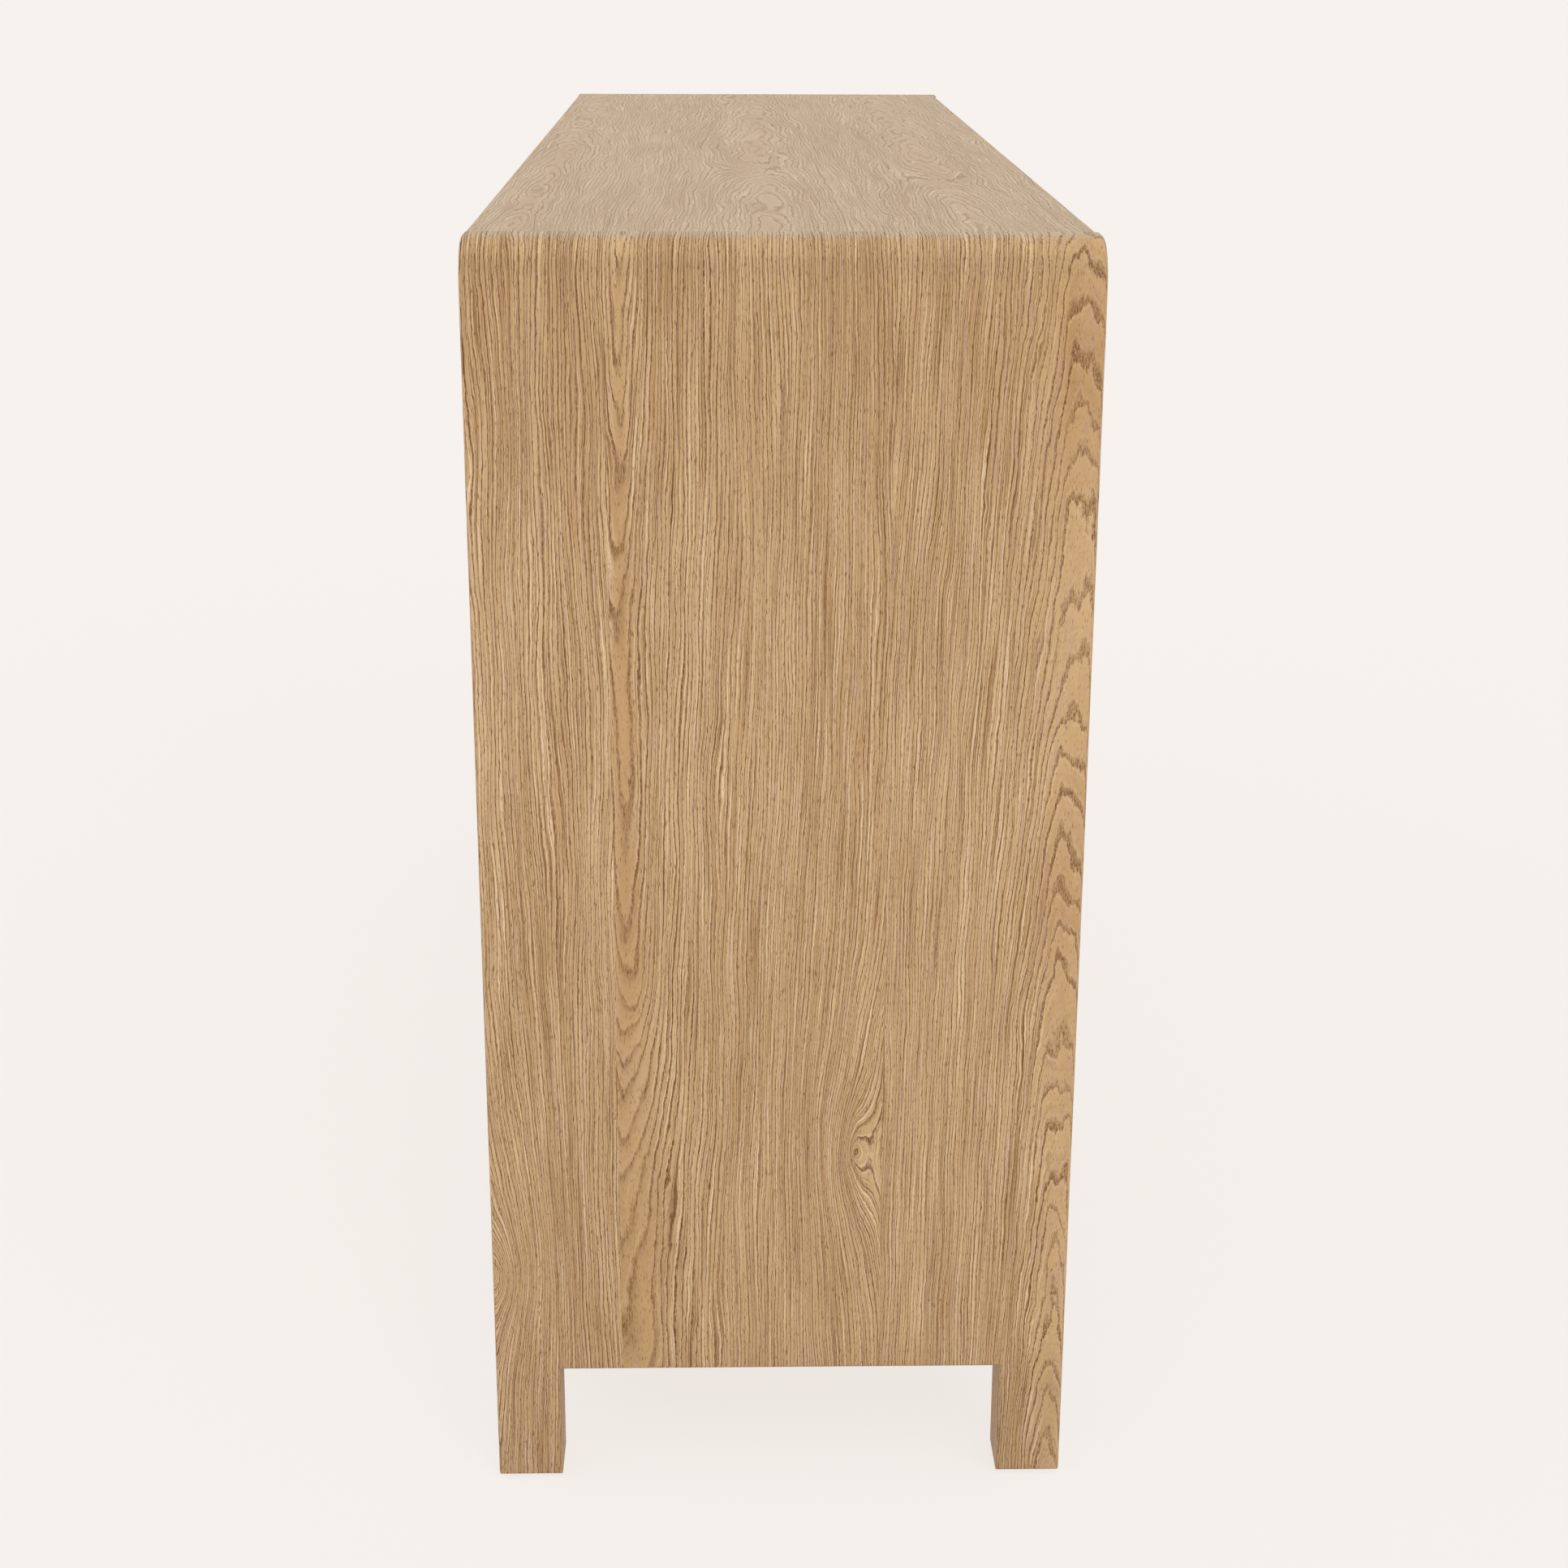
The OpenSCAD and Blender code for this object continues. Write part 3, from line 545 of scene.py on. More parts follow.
# paler oak: the drawer sides' own tone; on the top panel and round the end panels' corners it is partly the
# oak and partly a painted grazing sheen
paleOakAndSheenTones = {
    "pale": (209, 182, 148), "mid": (199, 169, 133), "ridge": (230, 209, 180), "dark": (145, 115, 84),
    "pore": (122, 94, 66), "rose": (205, 178, 153), "curls": 5.0, "wiggle": 0.9,
}
plainBoard = {"solid": False, "cuts": [], "knots": []}
endCurl = {"cornerRadius": 30.0, "easeIn": 12.0, "top": 873.0, "halfLength": 715.0}
endLook = {
    # sheenFade paints a paler grazing sheen over the corner and the top of the end panel
    "curl": endCurl, "sheenFade": (874.0, 895.0, paleOakAndSheenTones), **oakTones, "contrast": 1.18, "relief": 0.5,
    # painted shade: how light the face is painted at each share of its height, where that painted shade turns
    # warmer, and how far a surface has to turn outwards before these show, and show in full
    "shadeByHeight": [(0.0, 0.84), (0.09, 0.86), (0.13, 0.93), (0.6, 0.99), (0.75, 0.98), (0.93, 0.92),
                (0.968, 0.92), (0.982, 0.82), (0.994, 1.0)],
    "warmShade": {"low": 0.7, "high": 0.96, "tint": (1.0, 0.97, 0.92, 1.0)},
    "faceCut": (0.2, 0.8),
    "cuts": [-69.0, 111.0],
    "leaves": [leaf(-192.0, 13.0, 0.06, 3.1, spacing=2.0, wander=12.0, calm=0.3),
               leaf(101.0, 50.0, -0.055, 11.7, calm=0.85),
               leaf(262.0, 22.0, 0.03, 23.4)],
    "knots": [knotAt(1, -50.0, 256.0, 31.0, 84.0, 40.0), knotAt(2, 199.5, 162.0, 23.0, 38.0, -40.0)],
}
farEndLook = {
    **endLook, "cuts": [-95.0, 74.0], "knots": [],
    "leaves": [leaf(-120.0, 10.0, 0.03, 41.2), leaf(-20.0, 40.0, 0.02, 52.9), leaf(170.0, 14.0, 0.03, 63.3)],
}
topLook = {
    # the top's paler tones are partly its oak and partly a painted grazing sheen
    **plainBoard, "axes": "YZX", **paleOakAndSheenTones, "curls": 10.0, "wiggle": 2.0, "contrast": 0.76, "relief": 0.55,
    "cuts": [-62.0, 98.0],
    "leaves": [leaf(-125.0, -850.0, 0.03, 71.5, 2.7, 24.0), leaf(10.0, -846.0, 0.025, 84.2, 2.7, 24.0),
               leaf(170.0, -850.0, 0.03, 95.8, 2.7, 24.0)],
    "knots": [knotAt(1, 25.0, -250.0, 22.0, 60.0, 26.0), knotAt(0, -118.0, -330.0, 20.0, 70.0, 20.0)],
}
frontLook = {
    **plainBoard, "axes": "XYZ", **oakTones, "contrast": 1.0, "relief": 0.38,
    "cuts": [-540.0, -400.0, -255.0, -80.0, 90.0, 255.0, 410.0, 545.0],
    "leaves": [leaf(-600.0, 210.0, 0.03, 5.5), leaf(-470.0, 220.0, 0.02, 14.5),
               leaf(-330.0, 205.0, 0.03, 25.5), leaf(-170.0, 230.0, 0.025, 36.5),
               leaf(5.0, 204.0, 0.03, 47.5), leaf(170.0, 225.0, 0.02, 58.5),
               leaf(335.0, 207.0, 0.03, 69.5), leaf(480.0, 222.0, 0.02, 77.5),
               leaf(600.0, 208.0, 0.03, 88.5)],
}
innerLook = {
    **plainBoard, "axes": "YXZ", **oakTones, "contrast": 0.7, "relief": 0.4,
    "cuts": [0.0],
    "leaves": [leaf(-90.0, 260.0, 0.02, 6.6), leaf(110.0, 250.0, 0.02, 17.6)],
}
lengthLook = {
    **innerLook, "axes": "YZX",
    "leaves": [leaf(-80.0, -60.0, 0.02, 28.6), leaf(120.0, -80.0, 0.02, 39.6)],
}
boxSideLook = {
    **plainBoard, "axes": "ZXY", "solid": True, **paleOakAndSheenTones, "contrast": 0.7, "relief": 0.35,
    "leaves": [leaf(430.0, 240.0, 0.02, 49.6)],
}
boxCrossLook = {**boxSideLook, "axes": "ZYX", "leaves": [leaf(400.0, 230.0, 0.02, 57.6)]}

endOak = makeOak("endOak", endLook)
farEndOak = makeOak("farEndOak", farEndLook)
topOak = makeOak("topOak", topLook)
frontOak = makeOak("frontOak", frontLook)
innerOak = makeOak("innerOak", innerLook)
lengthOak = makeOak("lengthOak", lengthLook)
boxSideOak = makeOak("boxSideOak", boxSideLook)
boxCrossOak = makeOak("boxCrossOak", boxCrossLook)
print("oak materials built")


# Plywood and beech: the soft figure of peeled sheets, and the layers that their edges show

plyMarks = {
    "figure": {"size": (62.0, 520.0), "detail": 2.0, "rough": 0.4, "rings": 15.0},
    "ripple": {"size": (6.0, 60.0), "detail": 2.0, "rough": 0.5},
    "ringLine": [(0.0, 0.0), (0.1, 0.9), (0.35, 0.2), (0.7, 0.0), (1.0, 0.0)],
    "broad": {"size": (90.0, 420.0), "detail": 1.0, "rough": 0.5, "cut": (0.3, 0.7)},
    "streak": {"size": (1.3, 120.0), "detail": 4.0, "rough": 0.6, "cut": (0.46, 0.7, 0.0, 0.35)},
    "fleck": {"size": (0.4, 6.0), "detail": 1.0, "rough": 0.5, "cut": (0.62, 0.74)},
    "paint": {"ringLine": 0.3, "fleck": 0.3},
    "layer": {"thickness": 1.4, "cut": (0.4, 0.6)},
    "roughness": {"base": 0.52, "fleck": 0.1},
    "streakHeight": 0.4,
}


def makePlyGroup(marks):
    tree, given, out = newGroup(
        "birchPlywood",
        {"Vector": ["Vector"], "Float": ["Layer", "Edge", "Seed"], "Color": ["Pale", "Mid", "Dark"]},
        {"Color": ["Color"], "Float": ["Roughness", "Height"]})
    vector, seed = given["Vector"], given["Seed"]

    # a peeled sheet cuts the rings flat, so that their lines close in long wide loops
    rings = total(tree, product(tree, cloud(tree, vector, seed, marks["figure"]), marks["figure"]["rings"]),
                  cloud(tree, vector, seed, marks["ripple"]))
    ringLine = ramp(tree, maths(tree, "FRACT", rings), marks["ringLine"])
    broad = remap(tree, cloud(tree, vector, seed, marks["broad"]), *marks["broad"]["cut"], smooth=True)
    streak = cloud(tree, vector, seed, marks["streak"])
    streaks = remap(tree, streak, *marks["streak"]["cut"])
    flecks = remap(tree, cloud(tree, vector, seed, marks["fleck"]), *marks["fleck"]["cut"], smooth=True)
    paint = marks["paint"]
    face = blend(tree, broad, given["Mid"], given["Pale"])
    for mask in (streaks, product(tree, ringLine, paint["ringLine"]), product(tree, flecks, paint["fleck"])):
        face = blend(tree, mask, face, given["Dark"])

    layer = marks["layer"]
    plies = maths(tree, "PINGPONG", maths(tree, "DIVIDE", given["Layer"], layer["thickness"]), 1.0)
    layers = blend(tree, remap(tree, plies, *layer["cut"], smooth=True), given["Dark"], given["Mid"])
    feed(tree, out["Color"], blend(tree, given["Edge"], face, layers))
    rough = marks["roughness"]
    feed(tree, out["Roughness"], total(tree, product(tree, flecks, rough["fleck"]), rough["base"]))
    feed(tree, out["Height"], maths(tree, "SUBTRACT", product(tree, streak, marks["streakHeight"]), flecks))
    return tree


plyGroup = makePlyGroup(plyMarks)


def makePly(name, look):
    material, tree, shader = newMaterial(name)
    place = objectPlace(tree)
    across, through, along = [place[axis] for axis in look["axes"]]
    edge = maths(tree, "SUBTRACT", 1.0, facing(tree, look["axes"][1]))
    ply = placeGroup(tree, plyGroup, Vector=joined(tree, across, through, along), Layer=through, Edge=edge,
                     Seed=look["seed"], **tonesOf(look, "Pale", "Mid", "Dark"))
    dress(tree, shader, ply["Color"], ply["Roughness"], ply["Height"], look["relief"])
    return material


birchLook = {
    "pale": (226, 203, 166), "mid": (214, 188, 149), "dark": (182, 148, 106), "relief": 0.25, "seed": 4.4,
}
beechLook = {
    "pale": (222, 184, 146), "mid": (208, 166, 126), "dark": (176, 128, 90), "relief": 0.3, "seed": 2.6,
}
backPly = makePly("backPly", {**birchLook, "axes": "ZYX"})
drawerPly = makePly("drawerPly", {**birchLook, "axes": "XZY", "seed": 8.8})
beech = makePly("beech", {**beechLook, "axes": "YZX"})


# Metal: rolled or brushed lines, the patches of a plated skin, and dull spots

metalMarks = {
    "line": {"size": (0.22, 26.0), "detail": 3.0, "rough": 0.6, "cut": (0.3, 0.7)},
    "cell": (3.5, 5.0),
    "dull": {"size": (14.0, 30.0), "detail": 3.0, "rough": 0.6, "cut": (0.42, 0.66)},
    "paint": {"line": 0.45, "dull": 0.35},
    "roughness": {"dull": 0.14, "line": 0.06},
    "depth": 0.00008,
}


def makeMetalGroup(marks):
    tree, given, out = newGroup(
        "platedMetal",
        {"Vector": ["Vector"], "Color": ["Light", "Dark"], "Float": ["Patch", "Gloss", "Seed"]},
        {"Color": ["Color"], "Float": ["Roughness", "Height"]})
    vector, seed = given["Vector"], given["Seed"]
    line = cloud(tree, vector, seed, marks["line"])
    lines = remap(tree, line, *marks["line"]["cut"])
    cells = addNode(tree, "ShaderNodeTexVoronoi")
    feed(tree, cells.inputs["Vector"], stretched(tree, vector, *marks["cell"]))
    cells.inputs["Scale"].default_value = 1.0
    patches = product(tree, colourParts(tree, cells.outputs["Color"])[0], given["Patch"])
    dull = remap(tree, cloud(tree, vector, seed, marks["dull"]), *marks["dull"]["cut"], smooth=True)
    paint, rough = marks["paint"], marks["roughness"]
    shade = total(tree, product(tree, lines, paint["line"]), patches, product(tree, dull, paint["dull"]))
    feed(tree, out["Color"], blend(tree, shade, given["Light"], given["Dark"]))
    feed(tree, out["Roughness"], total(tree, given["Gloss"], product(tree, dull, rough["dull"]),
                                       product(tree, lines, rough["line"])))
    feed(tree, out["Height"], line)
    return tree


metalGroup = makeMetalGroup(metalMarks)


def makeMetal(name, look):
    material, tree, shader = newMaterial(name)
    place = objectPlace(tree)
    vector = joined(tree, *[place[axis] for axis in look["axes"]])
    metal = placeGroup(tree, metalGroup, Vector=vector, Patch=look["patch"], Gloss=look["gloss"],
                       Seed=look["seed"], **tonesOf(look, "Light", "Dark"))
    dress(tree, shader, metal["Color"], metal["Roughness"], metal["Height"], look["relief"],
          metalMarks["depth"])
    shader.inputs["Metallic"].default_value = 1.0
    return material


metalLooks = {
    "zincSteel": {
        "axes": "XZY", "light": (222, 225, 228), "dark": (176, 181, 187),
        "patch": 0.3, "gloss": 0.34, "relief": 0.2, "seed": 1.5},
    "hingeSteel": {
        "axes": "XYZ", "light": (192, 191, 188), "dark": (140, 139, 136),
        "patch": 0.05, "gloss": 0.32, "relief": 0.35, "seed": 6.5},
    "nickelSteel": {
        "axes": "YZX", "light": (204, 199, 190), "dark": (150, 145, 136),
        "patch": 0.1, "gloss": 0.22, "relief": 0.1, "seed": 9.5},
    "screwSteel": {
        "axes": "ZXY", "light": (186, 188, 190), "dark": (120, 122, 126),
        "patch": 0.2, "gloss": 0.3, "relief": 0.2, "seed": 12.5},
}
metals = {name: makeMetal(name, look) for name, look in metalLooks.items()}


# Felt: matted fibres that lie every way

feltLook = {
    "light": (132, 124, 114), "dark": (70, 64, 58), "relief": 0.8, "seed": 3.5, "sheen": 0.35,
    "mat": {"size": (1.6, 1.6), "detail": 4.0, "rough": 0.7, "cut": (0.3, 0.7)},
    "hair": {"size": (0.5, 0.35), "detail": 3.0, "twist": 2.2, "cut": (0.35, 0.65)},
    "roughness": (0.3, 0.7, 0.86, 1.0),
}


def makeFelt(name, look):
    material, tree, shader = newMaterial(name)
    place = objectPlace(tree)
    vector = joined(tree, place["X"], place["Y"], place["Z"])
    mat, hair = look["mat"], look["hair"]
    hairs = addNode(tree, "ShaderNodeTexNoise", noise_dimensions="3D")
    feed(tree, hairs.inputs["Vector"], stretched(tree, vector, *hair["size"]))
    hairs.inputs["Scale"].default_value = 1.0
    hairs.inputs["Detail"].default_value = hair["detail"]
    hairs.inputs["Distortion"].default_value = hair["twist"]
    shade = product(tree, remap(tree, cloud(tree, vector, look["seed"], mat), *mat["cut"]),
                    remap(tree, hairs.outputs[0], *hair["cut"]))
    tones = tonesOf(look, "Light", "Dark")
    dress(tree, shader, blend(tree, shade, tones["Dark"], tones["Light"]),
          remap(tree, hairs.outputs[0], *look["roughness"]), hairs.outputs[0], look["relief"])
    shader.inputs["Sheen Weight"].default_value = look["sheen"]
    return material


felt = makeFelt("felt", feltLook)
print("other materials built")


# The finish of each of the CAD's slots, and of the nodes that have one of their own

slotFinish = {
    "end_veneer": endOak, "top_veneer": topOak, "front_veneer": frontOak, "inner_veneer": innerOak,
    "solid_oak": boxSideOak, "birch_plywood": drawerPly, "beech": beech, "felt": felt,
    "runner_steel": metals["zincSteel"], "hinge_steel": metals["hingeSteel"],
    "nickel_steel": metals["nickelSteel"], "screw_steel": metals["screwSteel"],
}
ownFinish = {
    "right_end_panel": farEndOak, "back_panel": backPly, "base_panel": lengthOak,
    "left_shelf": lengthOak, "right_shelf": lengthOak,
}
for name, piece in nodes.items():
    crossPiece = name.endswith("_drawer_back") or name.endswith("_box_front")
    material = boxCrossOak if crossPiece else ownFinish.get(name, slotFinish[slotOf[name]])
    piece.data.materials.clear()
    piece.data.materials.append(material)
print("finishes laid on")


# Small fittings, modelled in full where the CAD has plain ones: each stands in its CAD solid's place

# in metres: points this close are one, points this near an end lie on its rim, and sizes are told apart
# to so many digits; edges sharper than so many degrees stay sharp
fittingLimits = {"merge": 1e-6, "pole": 1e-7, "rim": 1e-5, "digits": 5, "sharp": 32.0}


def solidsOf(name):
    # the points of each solid of a node, in the order of its mesh
    mesh = bmesh.new()
    mesh.from_mesh(nodes[name].data)
    bmesh.ops.remove_doubles(mesh, verts=mesh.verts, dist=fittingLimits["merge"])
    waiting = set(mesh.verts)
    solids = []
    for start in mesh.verts:
        if start not in waiting:
            continue
        waiting.remove(start)
        reached = [start]
        for vertex in reached:
            for edge in vertex.link_edges:
                other = edge.other_vert(vertex)
                if other in waiting:
                    waiting.remove(other)
                    reached.append(other)
        solids.append([vertex.co.copy() for vertex in reached])
    mesh.free()
    return solids


def boxOf(points):
    low = Vector([min(point[i] for point in points) for i in range(3)])
    high = Vector([max(point[i] for point in points) for i in range(3)])
    return low, high


def spun(profile, steps):
    # a profile of (radius, height) turned round the Z axis
    mesh = bmesh.new()
    points = [mesh.verts.new((radius, 0.0, height)) for radius, height in profile]
    lines = [mesh.edges.new(pair) for pair in zip(points, points[1:])]
    bmesh.ops.spin(mesh, geom=points + lines, cent=(0, 0, 0), axis=(0, 0, 1), angle=math.tau, steps=steps,
                   use_merge=True)
    bmesh.ops.remove_doubles(mesh, verts=mesh.verts, dist=fittingLimits["pole"])
    bmesh.ops.recalc_face_normals(mesh, faces=mesh.faces)
    return mesh


def recessCutter(recess, radius):
    # two crossed wedges that narrow downwards, half of their height under the head's face; sizes in radii
    mesh = bmesh.new()
    for turn in (0.0, math.pi / 2):
        made = bmesh.ops.create_cube(mesh, size=1.0)["verts"]
        for vertex in made:
            narrow = recess["taper"] if vertex.co.z < 0 else 1.0
            vertex.co.x *= recess["span"] * radius * narrow
            vertex.co.y *= recess["slot"] * radius * narrow
            vertex.co.z *= 2 * recess["depth"] * radius
        bmesh.ops.rotate(mesh, verts=made, cent=(0, 0, 0), matrix=Matrix.Rotation(turn, 3, "Z"))
    return mesh


def asMesh(label, shape):
    mesh = bpy.data.meshes.new(label)
    shape.to_mesh(mesh)
    shape.free()
    return mesh


def asObject(label, mesh):
    holder = bpy.data.objects.new(label, mesh)
    bpy.context.scene.collection.objects.link(holder)
    return holder


def carved(body, cutter):
    # the body less the cutter, as a mesh
    whole = asObject("whole", asMesh("whole", body))
    tool = asObject("tool", asMesh("tool", cutter))
    cut = whole.modifiers.new("cut", "BOOLEAN")
    cut.object = tool
    cut.solver = "EXACT"
    cut.use_self = True
    graph = bpy.context.evaluated_depsgraph_get()
    result = bpy.data.meshes.new_from_object(whole.evaluated_get(graph))
    for holder in (whole, tool):
        mesh = holder.data
        bpy.data.objects.remove(holder)
        bpy.data.meshes.remove(mesh)
    return result


def standing(face, axis):
    # puts a unit made under the origin, its face up, where the face and axis say
    return Matrix.Translation(face) @ axis.to_track_quat("Z", "Y").to_matrix().to_4x4()


def addCopy(gathered, unit, matrix):
    first = len(gathered.verts)
    gathered.from_mesh(unit)
    gathered.verts.ensure_lookup_table()
    bmesh.ops.transform(gathered, matrix=matrix, verts=gathered.verts[first:])


def finishPiece(name, gathered, node):
    # one object that takes the node's place, its material and its body
    mesh = asMesh(name, gathered)
    mesh.shade_smooth()
    mesh.set_sharp_from_angle(angle=math.radians(fittingLimits["sharp"]))
    mesh.materials.append(nodes[node].data.materials[0])
    piece = asObject(name, mesh)
    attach(piece, bodyOf[node])
    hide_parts(node)


# Screws with threads and a cross recess, their sizes in radii of the shank

screwSizes = {
    "steps": 24, "core": 0.72, "crest": 0.98, "pitch": 0.9, "tip": 2.6,
    "sunkRim": 1.9,  # a wider rim than this means a countersunk head
    "panHead": [(0.0, 0.0), (1.05, 0.0), (1.45, -0.1), (1.72, -0.36), (1.9, -0.74), (1.9, -0.9),
                (1.0, -0.9)],
    "sunkHead": [(0.0, 0.0), (1.86, 0.0), (1.86, -0.08), (1.0, -0.98)],
    "recess": {"span": 1.9, "slot": 0.42, "depth": 0.85, "taper": 0.4},
}


def measured(points):
    # a screw's solid: its axis towards the head, the middle of the head's face, and its sizes
    low, high = boxOf(points)
    middle, size = (low + high) / 2, high - low
    longest = max(range(3), key=lambda i: size[i])
    axis = Vector([1.0 if i == longest else 0.0 for i in range(3)])
    half = size[longest] / 2
    rims = {1: 0.0, -1: 0.0}
    for point in points:
        ahead = (point - middle).dot(axis)
        if abs(ahead) > half - fittingLimits["rim"]:
            side = 1 if ahead > 0 else -1
            rims[side] = max(rims[side], (point - middle - axis * ahead).length)
    headSide = 1 if rims[1] > rims[-1] else -1
    return {"axis": axis * headSide, "face": middle + axis * headSide * half, "length": 2 * half,
            "rim": rims[headSide], "shank": rims[-headSide]}


def makeScrew(radius, length, head):
    sizes = screwSizes
    reach = length / radius
    profile = list(sizes[head])
    height = profile[-1][1] - sizes["pitch"]
    while height > sizes["tip"] - reach:
        profile += [(sizes["core"], height), (sizes["crest"], height - sizes["pitch"] / 2)]
        height -= sizes["pitch"]
    profile += [(sizes["core"], height), (0.0, -reach)]
    body = spun([(across * radius, up * radius) for across, up in profile], sizes["steps"])
    return carved(body, recessCutter(sizes["recess"], radius))


def makeScrews(node):
    gathered = bmesh.new()
    units = {}
    for points in solidsOf(node):
        found = measured(points)
        head = "sunkHead" if found["rim"] > screwSizes["sunkRim"] * found["shank"] else "panHead"
        kind = (*[round(found[size], fittingLimits["digits"]) for size in ("shank", "length")], head)
        if kind not in units:
            units[kind] = makeScrew(found["shank"], found["length"], head)
        addCopy(gathered, units[kind], standing(found["face"], found["axis"]))
    for unit in units.values():
        bpy.data.meshes.remove(unit)
    finishPiece(node + "_threaded", gathered, node)


# Other turned fittings. A profile's points are shares of the CAD solid's radius and of its length, from the
# end that the axis points at; an axis None points at the sideboard's middle, or up on an upright solid

boltThread = {"points": 15, "start": -0.68, "step": -0.02, "core": 0.74, "crest": 0.98}


def threadPoints(thread):
    # from one point of the profile to the next, the thread goes from its core to its crest and back
    return [(thread["crest"] if i % 2 else thread["core"], thread["start"] + thread["step"] * i)
            for i in range(thread["points"])]


turnings = {
    "cam_locks": {
        "name": "cam_locks_slotted", "axis": (0, 0, -1), "steps": 48,
        "profile": [(0.0, -0.03), (0.62, -0.03), (0.68, 0.0), (0.92, 0.0), (1.0, -0.05), (1.0, -1.0),
                    (0.0, -1.0)],
        "recess": {"span": 0.9, "slot": 0.19, "depth": 0.34, "taper": 0.6}},
    "cam_bolts": {
        "name": "cam_bolts_threaded", "axis": None, "steps": 32,
        "profile": [(0.0, 0.0), (0.6, 0.0), (0.86, -0.02), (0.86, -0.07), (0.5, -0.1), (0.5, -0.17),
                    (0.8, -0.2), (0.8, -0.66), *threadPoints(boltThread), (0.5, -1.0), (0.0, -1.0)]},
    "shelf_pins": {
        "name": "shelf_pins_turned", "axis": (1, 0, 0), "steps": 32,
        "profile": [(0.0, 0.0), (0.55, 0.0), (0.85, -0.02), (1.0, -0.07), (1.0, -0.3), (0.86, -0.32),
                    (0.86, -0.36), (1.0, -0.38), (1.0, -0.62), (0.86, -0.64), (0.86, -0.68), (1.0, -0.7),
                    (1.0, -0.93), (0.85, -0.98), (0.55, -1.0), (0.0, -1.0)]},
    "dowels": {
        "name": "dowels_fluted", "axis": None, "steps": 32, "flute": 0.91,
        "profile": [(0.0, 0.0), (0.7, 0.0), (1.0, -0.05), (1.0, -0.95), (0.7, -1.0), (0.0, -1.0)]},
    "door_magnets": {
        "name": "door_magnets_cupped", "axis": (0, -1, 0), "steps": 48,
        "profile": [(0.0, -0.12), (0.14, -0.12), (0.3, -0.02), (0.74, -0.02), (0.76, -0.1), (0.82, -0.1),
                    (0.84, 0.0), (0.95, 0.0), (1.0, -0.05), (1.0, -1.0), (0.0, -1.0)]},
}
for side in ("left", "right"):
    turnings[side + "_door_strikes"] = {
        "name": side + "_door_strikes_dished", "axis": (0, 1, 0), "steps": 48,
        "profile": [(0.0, -0.1), (0.5, -0.1), (0.56, 0.0), (0.94, 0.0), (1.0, -0.12), (1.0, -1.0),
                    (0.0, -1.0)],
        "recess": {"span": 0.42, "slot": 0.1, "depth": 0.26, "taper": 0.6}}


def flute(mesh, steps, share):
    # draws in every other line of points round a rod
    for vertex in mesh.verts:
        column = round(math.atan2(vertex.co.y, vertex.co.x) / math.tau * steps)
        if column % 2:
            vertex.co.x *= share
            vertex.co.y *= share


def makeTurnedUnit(look, radius, length):
    mesh = spun([(across * radius, up * length) for across, up in look["profile"]], look["steps"])
    if "flute" in look:
        flute(mesh, look["steps"], look["flute"])
    if "recess" in look:
        return carved(mesh, recessCutter(look["recess"], radius))
    return asMesh("turnedUnit", mesh)


def makeTurned(node, look):
    gathered = bmesh.new()
    unit = None
    for points in solidsOf(node):
        low, high = boxOf(points)
        middle, size = (low + high) / 2, high - low
        axis = Vector(look["axis"] or (-math.copysign(1, middle.x), 0, 0))
        if look["axis"] is None and size.z > size.x:
            axis = Vector((0, 0, 1))
        length = abs(size.dot(axis))
        if unit is None:
            radius = min(size) / 2 if length > min(size) else max(size) / 2
            unit = makeTurnedUnit(look, radius, length)
        addCopy(gathered, unit, standing(middle + axis * length / 2, axis))
    bpy.data.meshes.remove(unit)
    finishPiece(look["name"], gathered, node)


# Shelves, with their sharp edges eased

shelfEase = {"width": 0.0012, "segments": 3}


def makeShelf(node):
    low, high = [Vector(corner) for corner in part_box(node)]
    mesh = bmesh.new()
    bmesh.ops.create_cube(mesh, size=1.0)
    bmesh.ops.scale(mesh, verts=mesh.verts, vec=high - low)
    bmesh.ops.translate(mesh, verts=mesh.verts, vec=(low + high) / 2)
    bmesh.ops.bevel(mesh, geom=mesh.edges[:], offset=shelfEase["width"], offset_type="OFFSET", affect="EDGES",
                    segments=shelfEase["segments"], profile=0.5, material=-1)
    finishPiece(node + "_eased", mesh, node)


for node in nodes:
    if "screws" in node:
        makeScrews(node)
    if node in turnings:
        makeTurned(node, turnings[node])
    if node.endswith("_shelf"):
        makeShelf(node)
print("screws, turned fittings and shelves made")


# Floor, light and camera

studio = {
    "pale": (247, 242, 238),
    "floor": {"reach": 60.0, "roughness": 0.9, "glow": 0.86},  # what the glow leaves takes light and shadow
    "world": {"light": 0.72, "backdrop": 1.0},
    "lamps": {"key": {"strength": 0.9, "angle": 50.0, "direction": (0.75, 0.35, -0.75)},
              "fill": {"strength": 0.35, "angle": 70.0, "direction": (0.3, -0.8, -0.6)}},
}
cameraLook = {
    "place": (-2.3342, 0.0358, 1.0581), "lens": 59.95, "sensor": 36.0, "farthest": 200.0,
    "right": (-0.02157, -0.99976, 0.00381), "up": (0.31404, -0.00316, 0.94941),
    "back": (-0.94917, 0.02167, 0.31403),
}


def showInstead(tree, rays, share, lit, shown):
    # rays of these kinds see the shown shader instead of the lit one, by the share
    paths = addNode(tree, "ShaderNodeLightPath")
    seen = maths(tree, "MAXIMUM", *[paths.outputs[ray] for ray in rays])
    mix = addNode(tree, "ShaderNodeMixShader")
    for socket, value in zip(mix.inputs, (product(tree, seen, share), lit.outputs[0], shown.outputs[0])):
        feed(tree, socket, value)
    return mix.outputs[0]


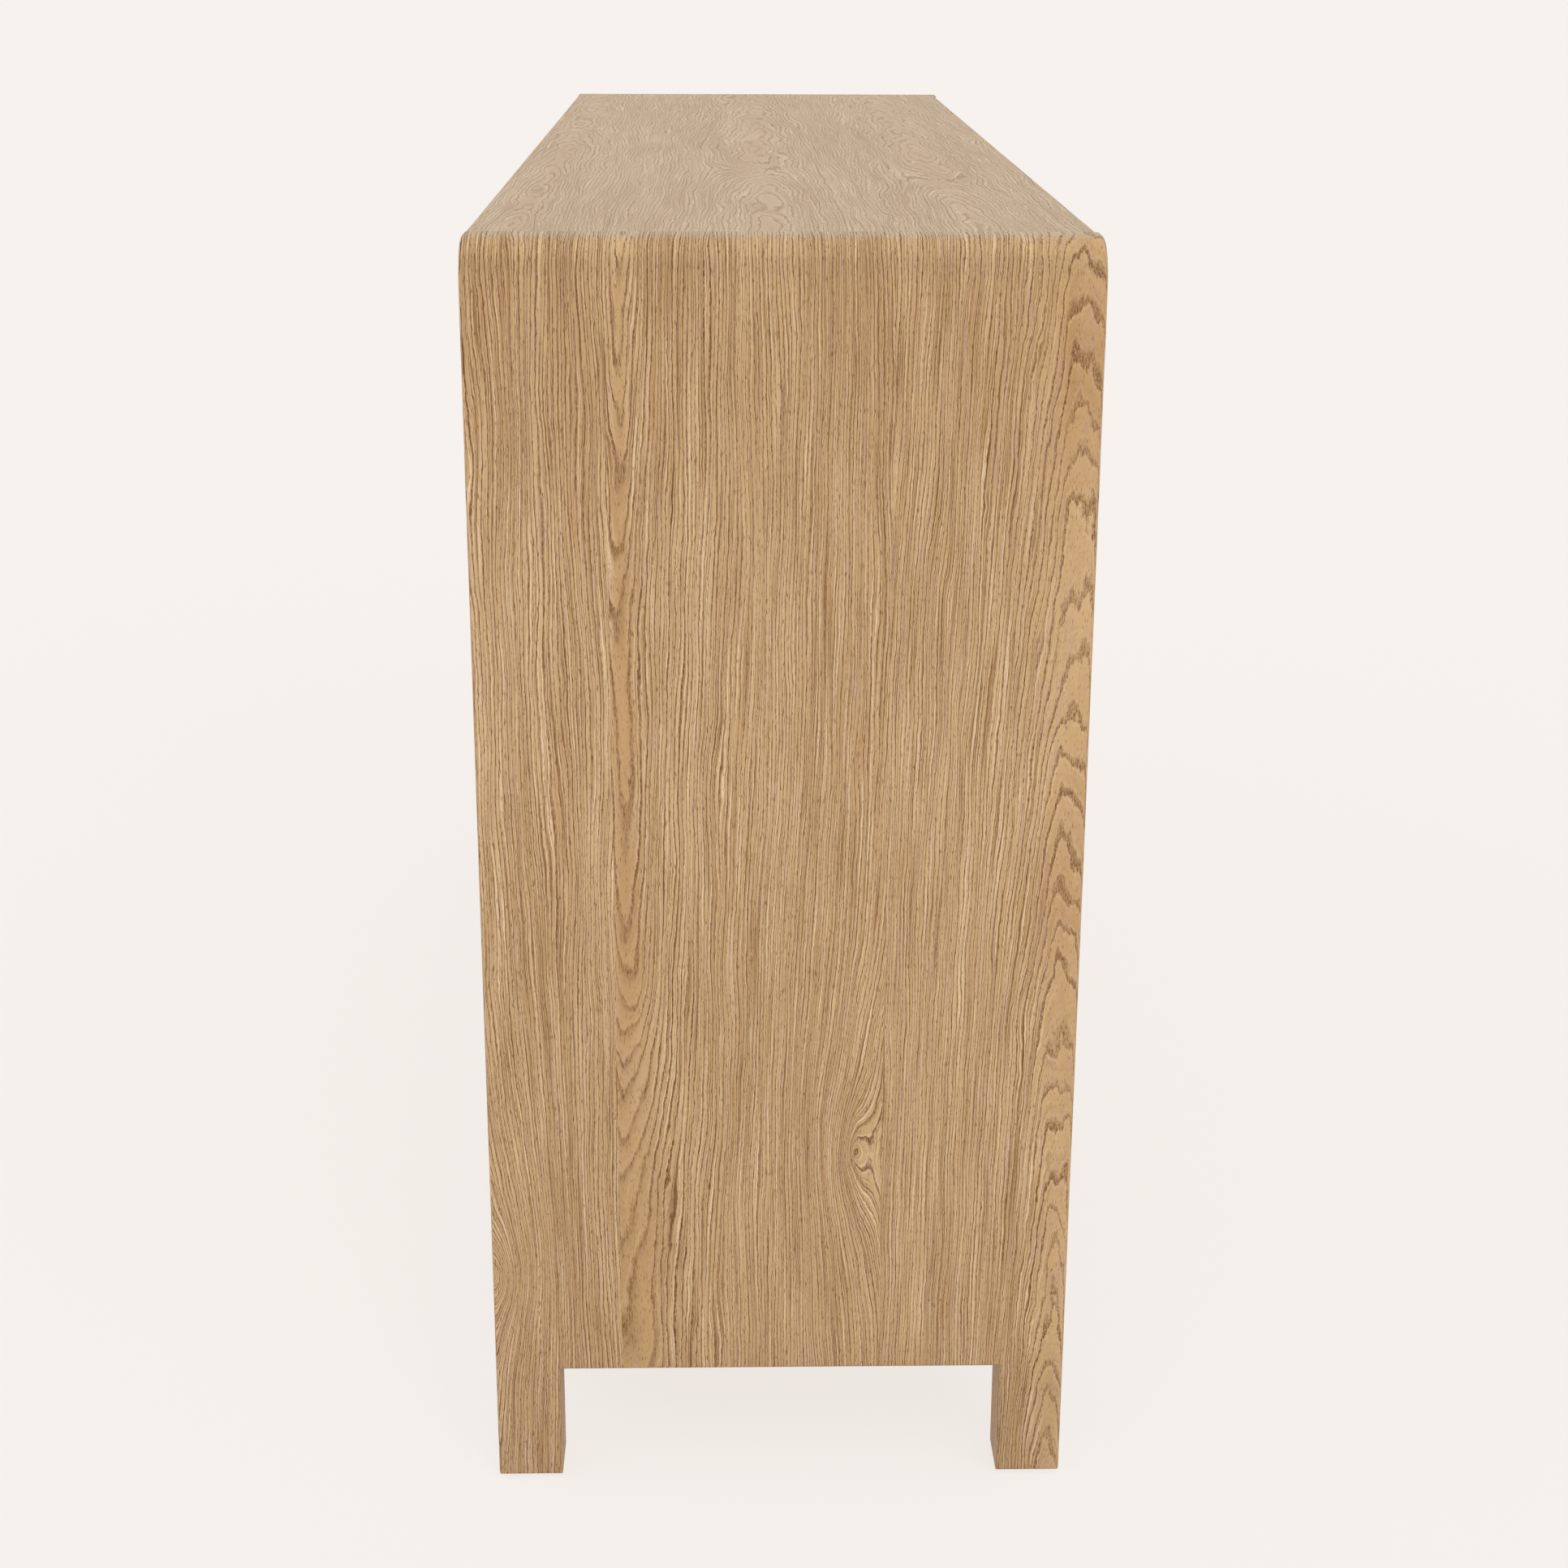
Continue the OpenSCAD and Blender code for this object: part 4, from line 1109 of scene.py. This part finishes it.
def makeFloor(look, pale):
    shape = bmesh.new()
    bmesh.ops.create_grid(shape, x_segments=1, y_segments=1, size=look["reach"])
    floor = asObject("floor", asMesh("floor", shape))
    material, tree, shader = newMaterial("paleFloor")
    shader.inputs["Base Color"].default_value = pale
    shader.inputs["Roughness"].default_value = look["roughness"]
    shader.inputs["Specular IOR Level"].default_value = 0.0
    glow = addNode(tree, "ShaderNodeEmission")
    glow.inputs["Color"].default_value = pale
    surface = showInstead(tree, ("Is Camera Ray", "Is Glossy Ray"), look["glow"], shader, glow)
    feed(tree, tree.nodes["Material Output"].inputs["Surface"], surface)
    floor.data.materials.append(material)


def makeWorld(look, pale):
    world = bpy.data.worlds.new("studio")
    bpy.context.scene.world = world
    world.use_nodes = True
    tree = world.node_tree
    light = tree.nodes["Background"]
    light.inputs["Color"].default_value = (1.0, 1.0, 1.0, 1.0)
    light.inputs["Strength"].default_value = look["light"]
    backdrop = addNode(tree, "ShaderNodeBackground")
    backdrop.inputs["Color"].default_value = pale
    backdrop.inputs["Strength"].default_value = look["backdrop"]
    surface = showInstead(tree, ("Is Camera Ray", "Is Transmission Ray"), 1.0, light, backdrop)
    feed(tree, tree.nodes["World Output"].inputs["Surface"], surface)


def makeLamp(name, look):
    lamp = bpy.data.lights.new(name, "SUN")
    lamp.energy = look["strength"]
    lamp.angle = math.radians(look["angle"])
    holder = asObject(name, lamp)
    holder.rotation_mode = "QUATERNION"
    holder.rotation_quaternion = Vector(look["direction"]).to_track_quat("-Z", "Y")


def makeCamera(look):
    lens = bpy.data.cameras.new("camera")
    lens.sensor_width = look["sensor"]
    lens.lens = look["lens"]
    lens.clip_end = look["farthest"]
    camera = asObject("camera", lens)
    turn = Matrix((look["right"], look["up"], look["back"])).transposed()
    camera.matrix_world = Matrix.Translation(look["place"]) @ turn.to_4x4()
    bpy.context.scene.camera = camera


pale = linear(*studio["pale"])
makeFloor(studio["floor"], pale)
makeWorld(studio["world"], pale)
for name, look in studio["lamps"].items():
    makeLamp(name, look)
makeCamera(cameraLook)
bpy.context.scene.view_settings.view_transform = "Standard"
print("stage and camera set")
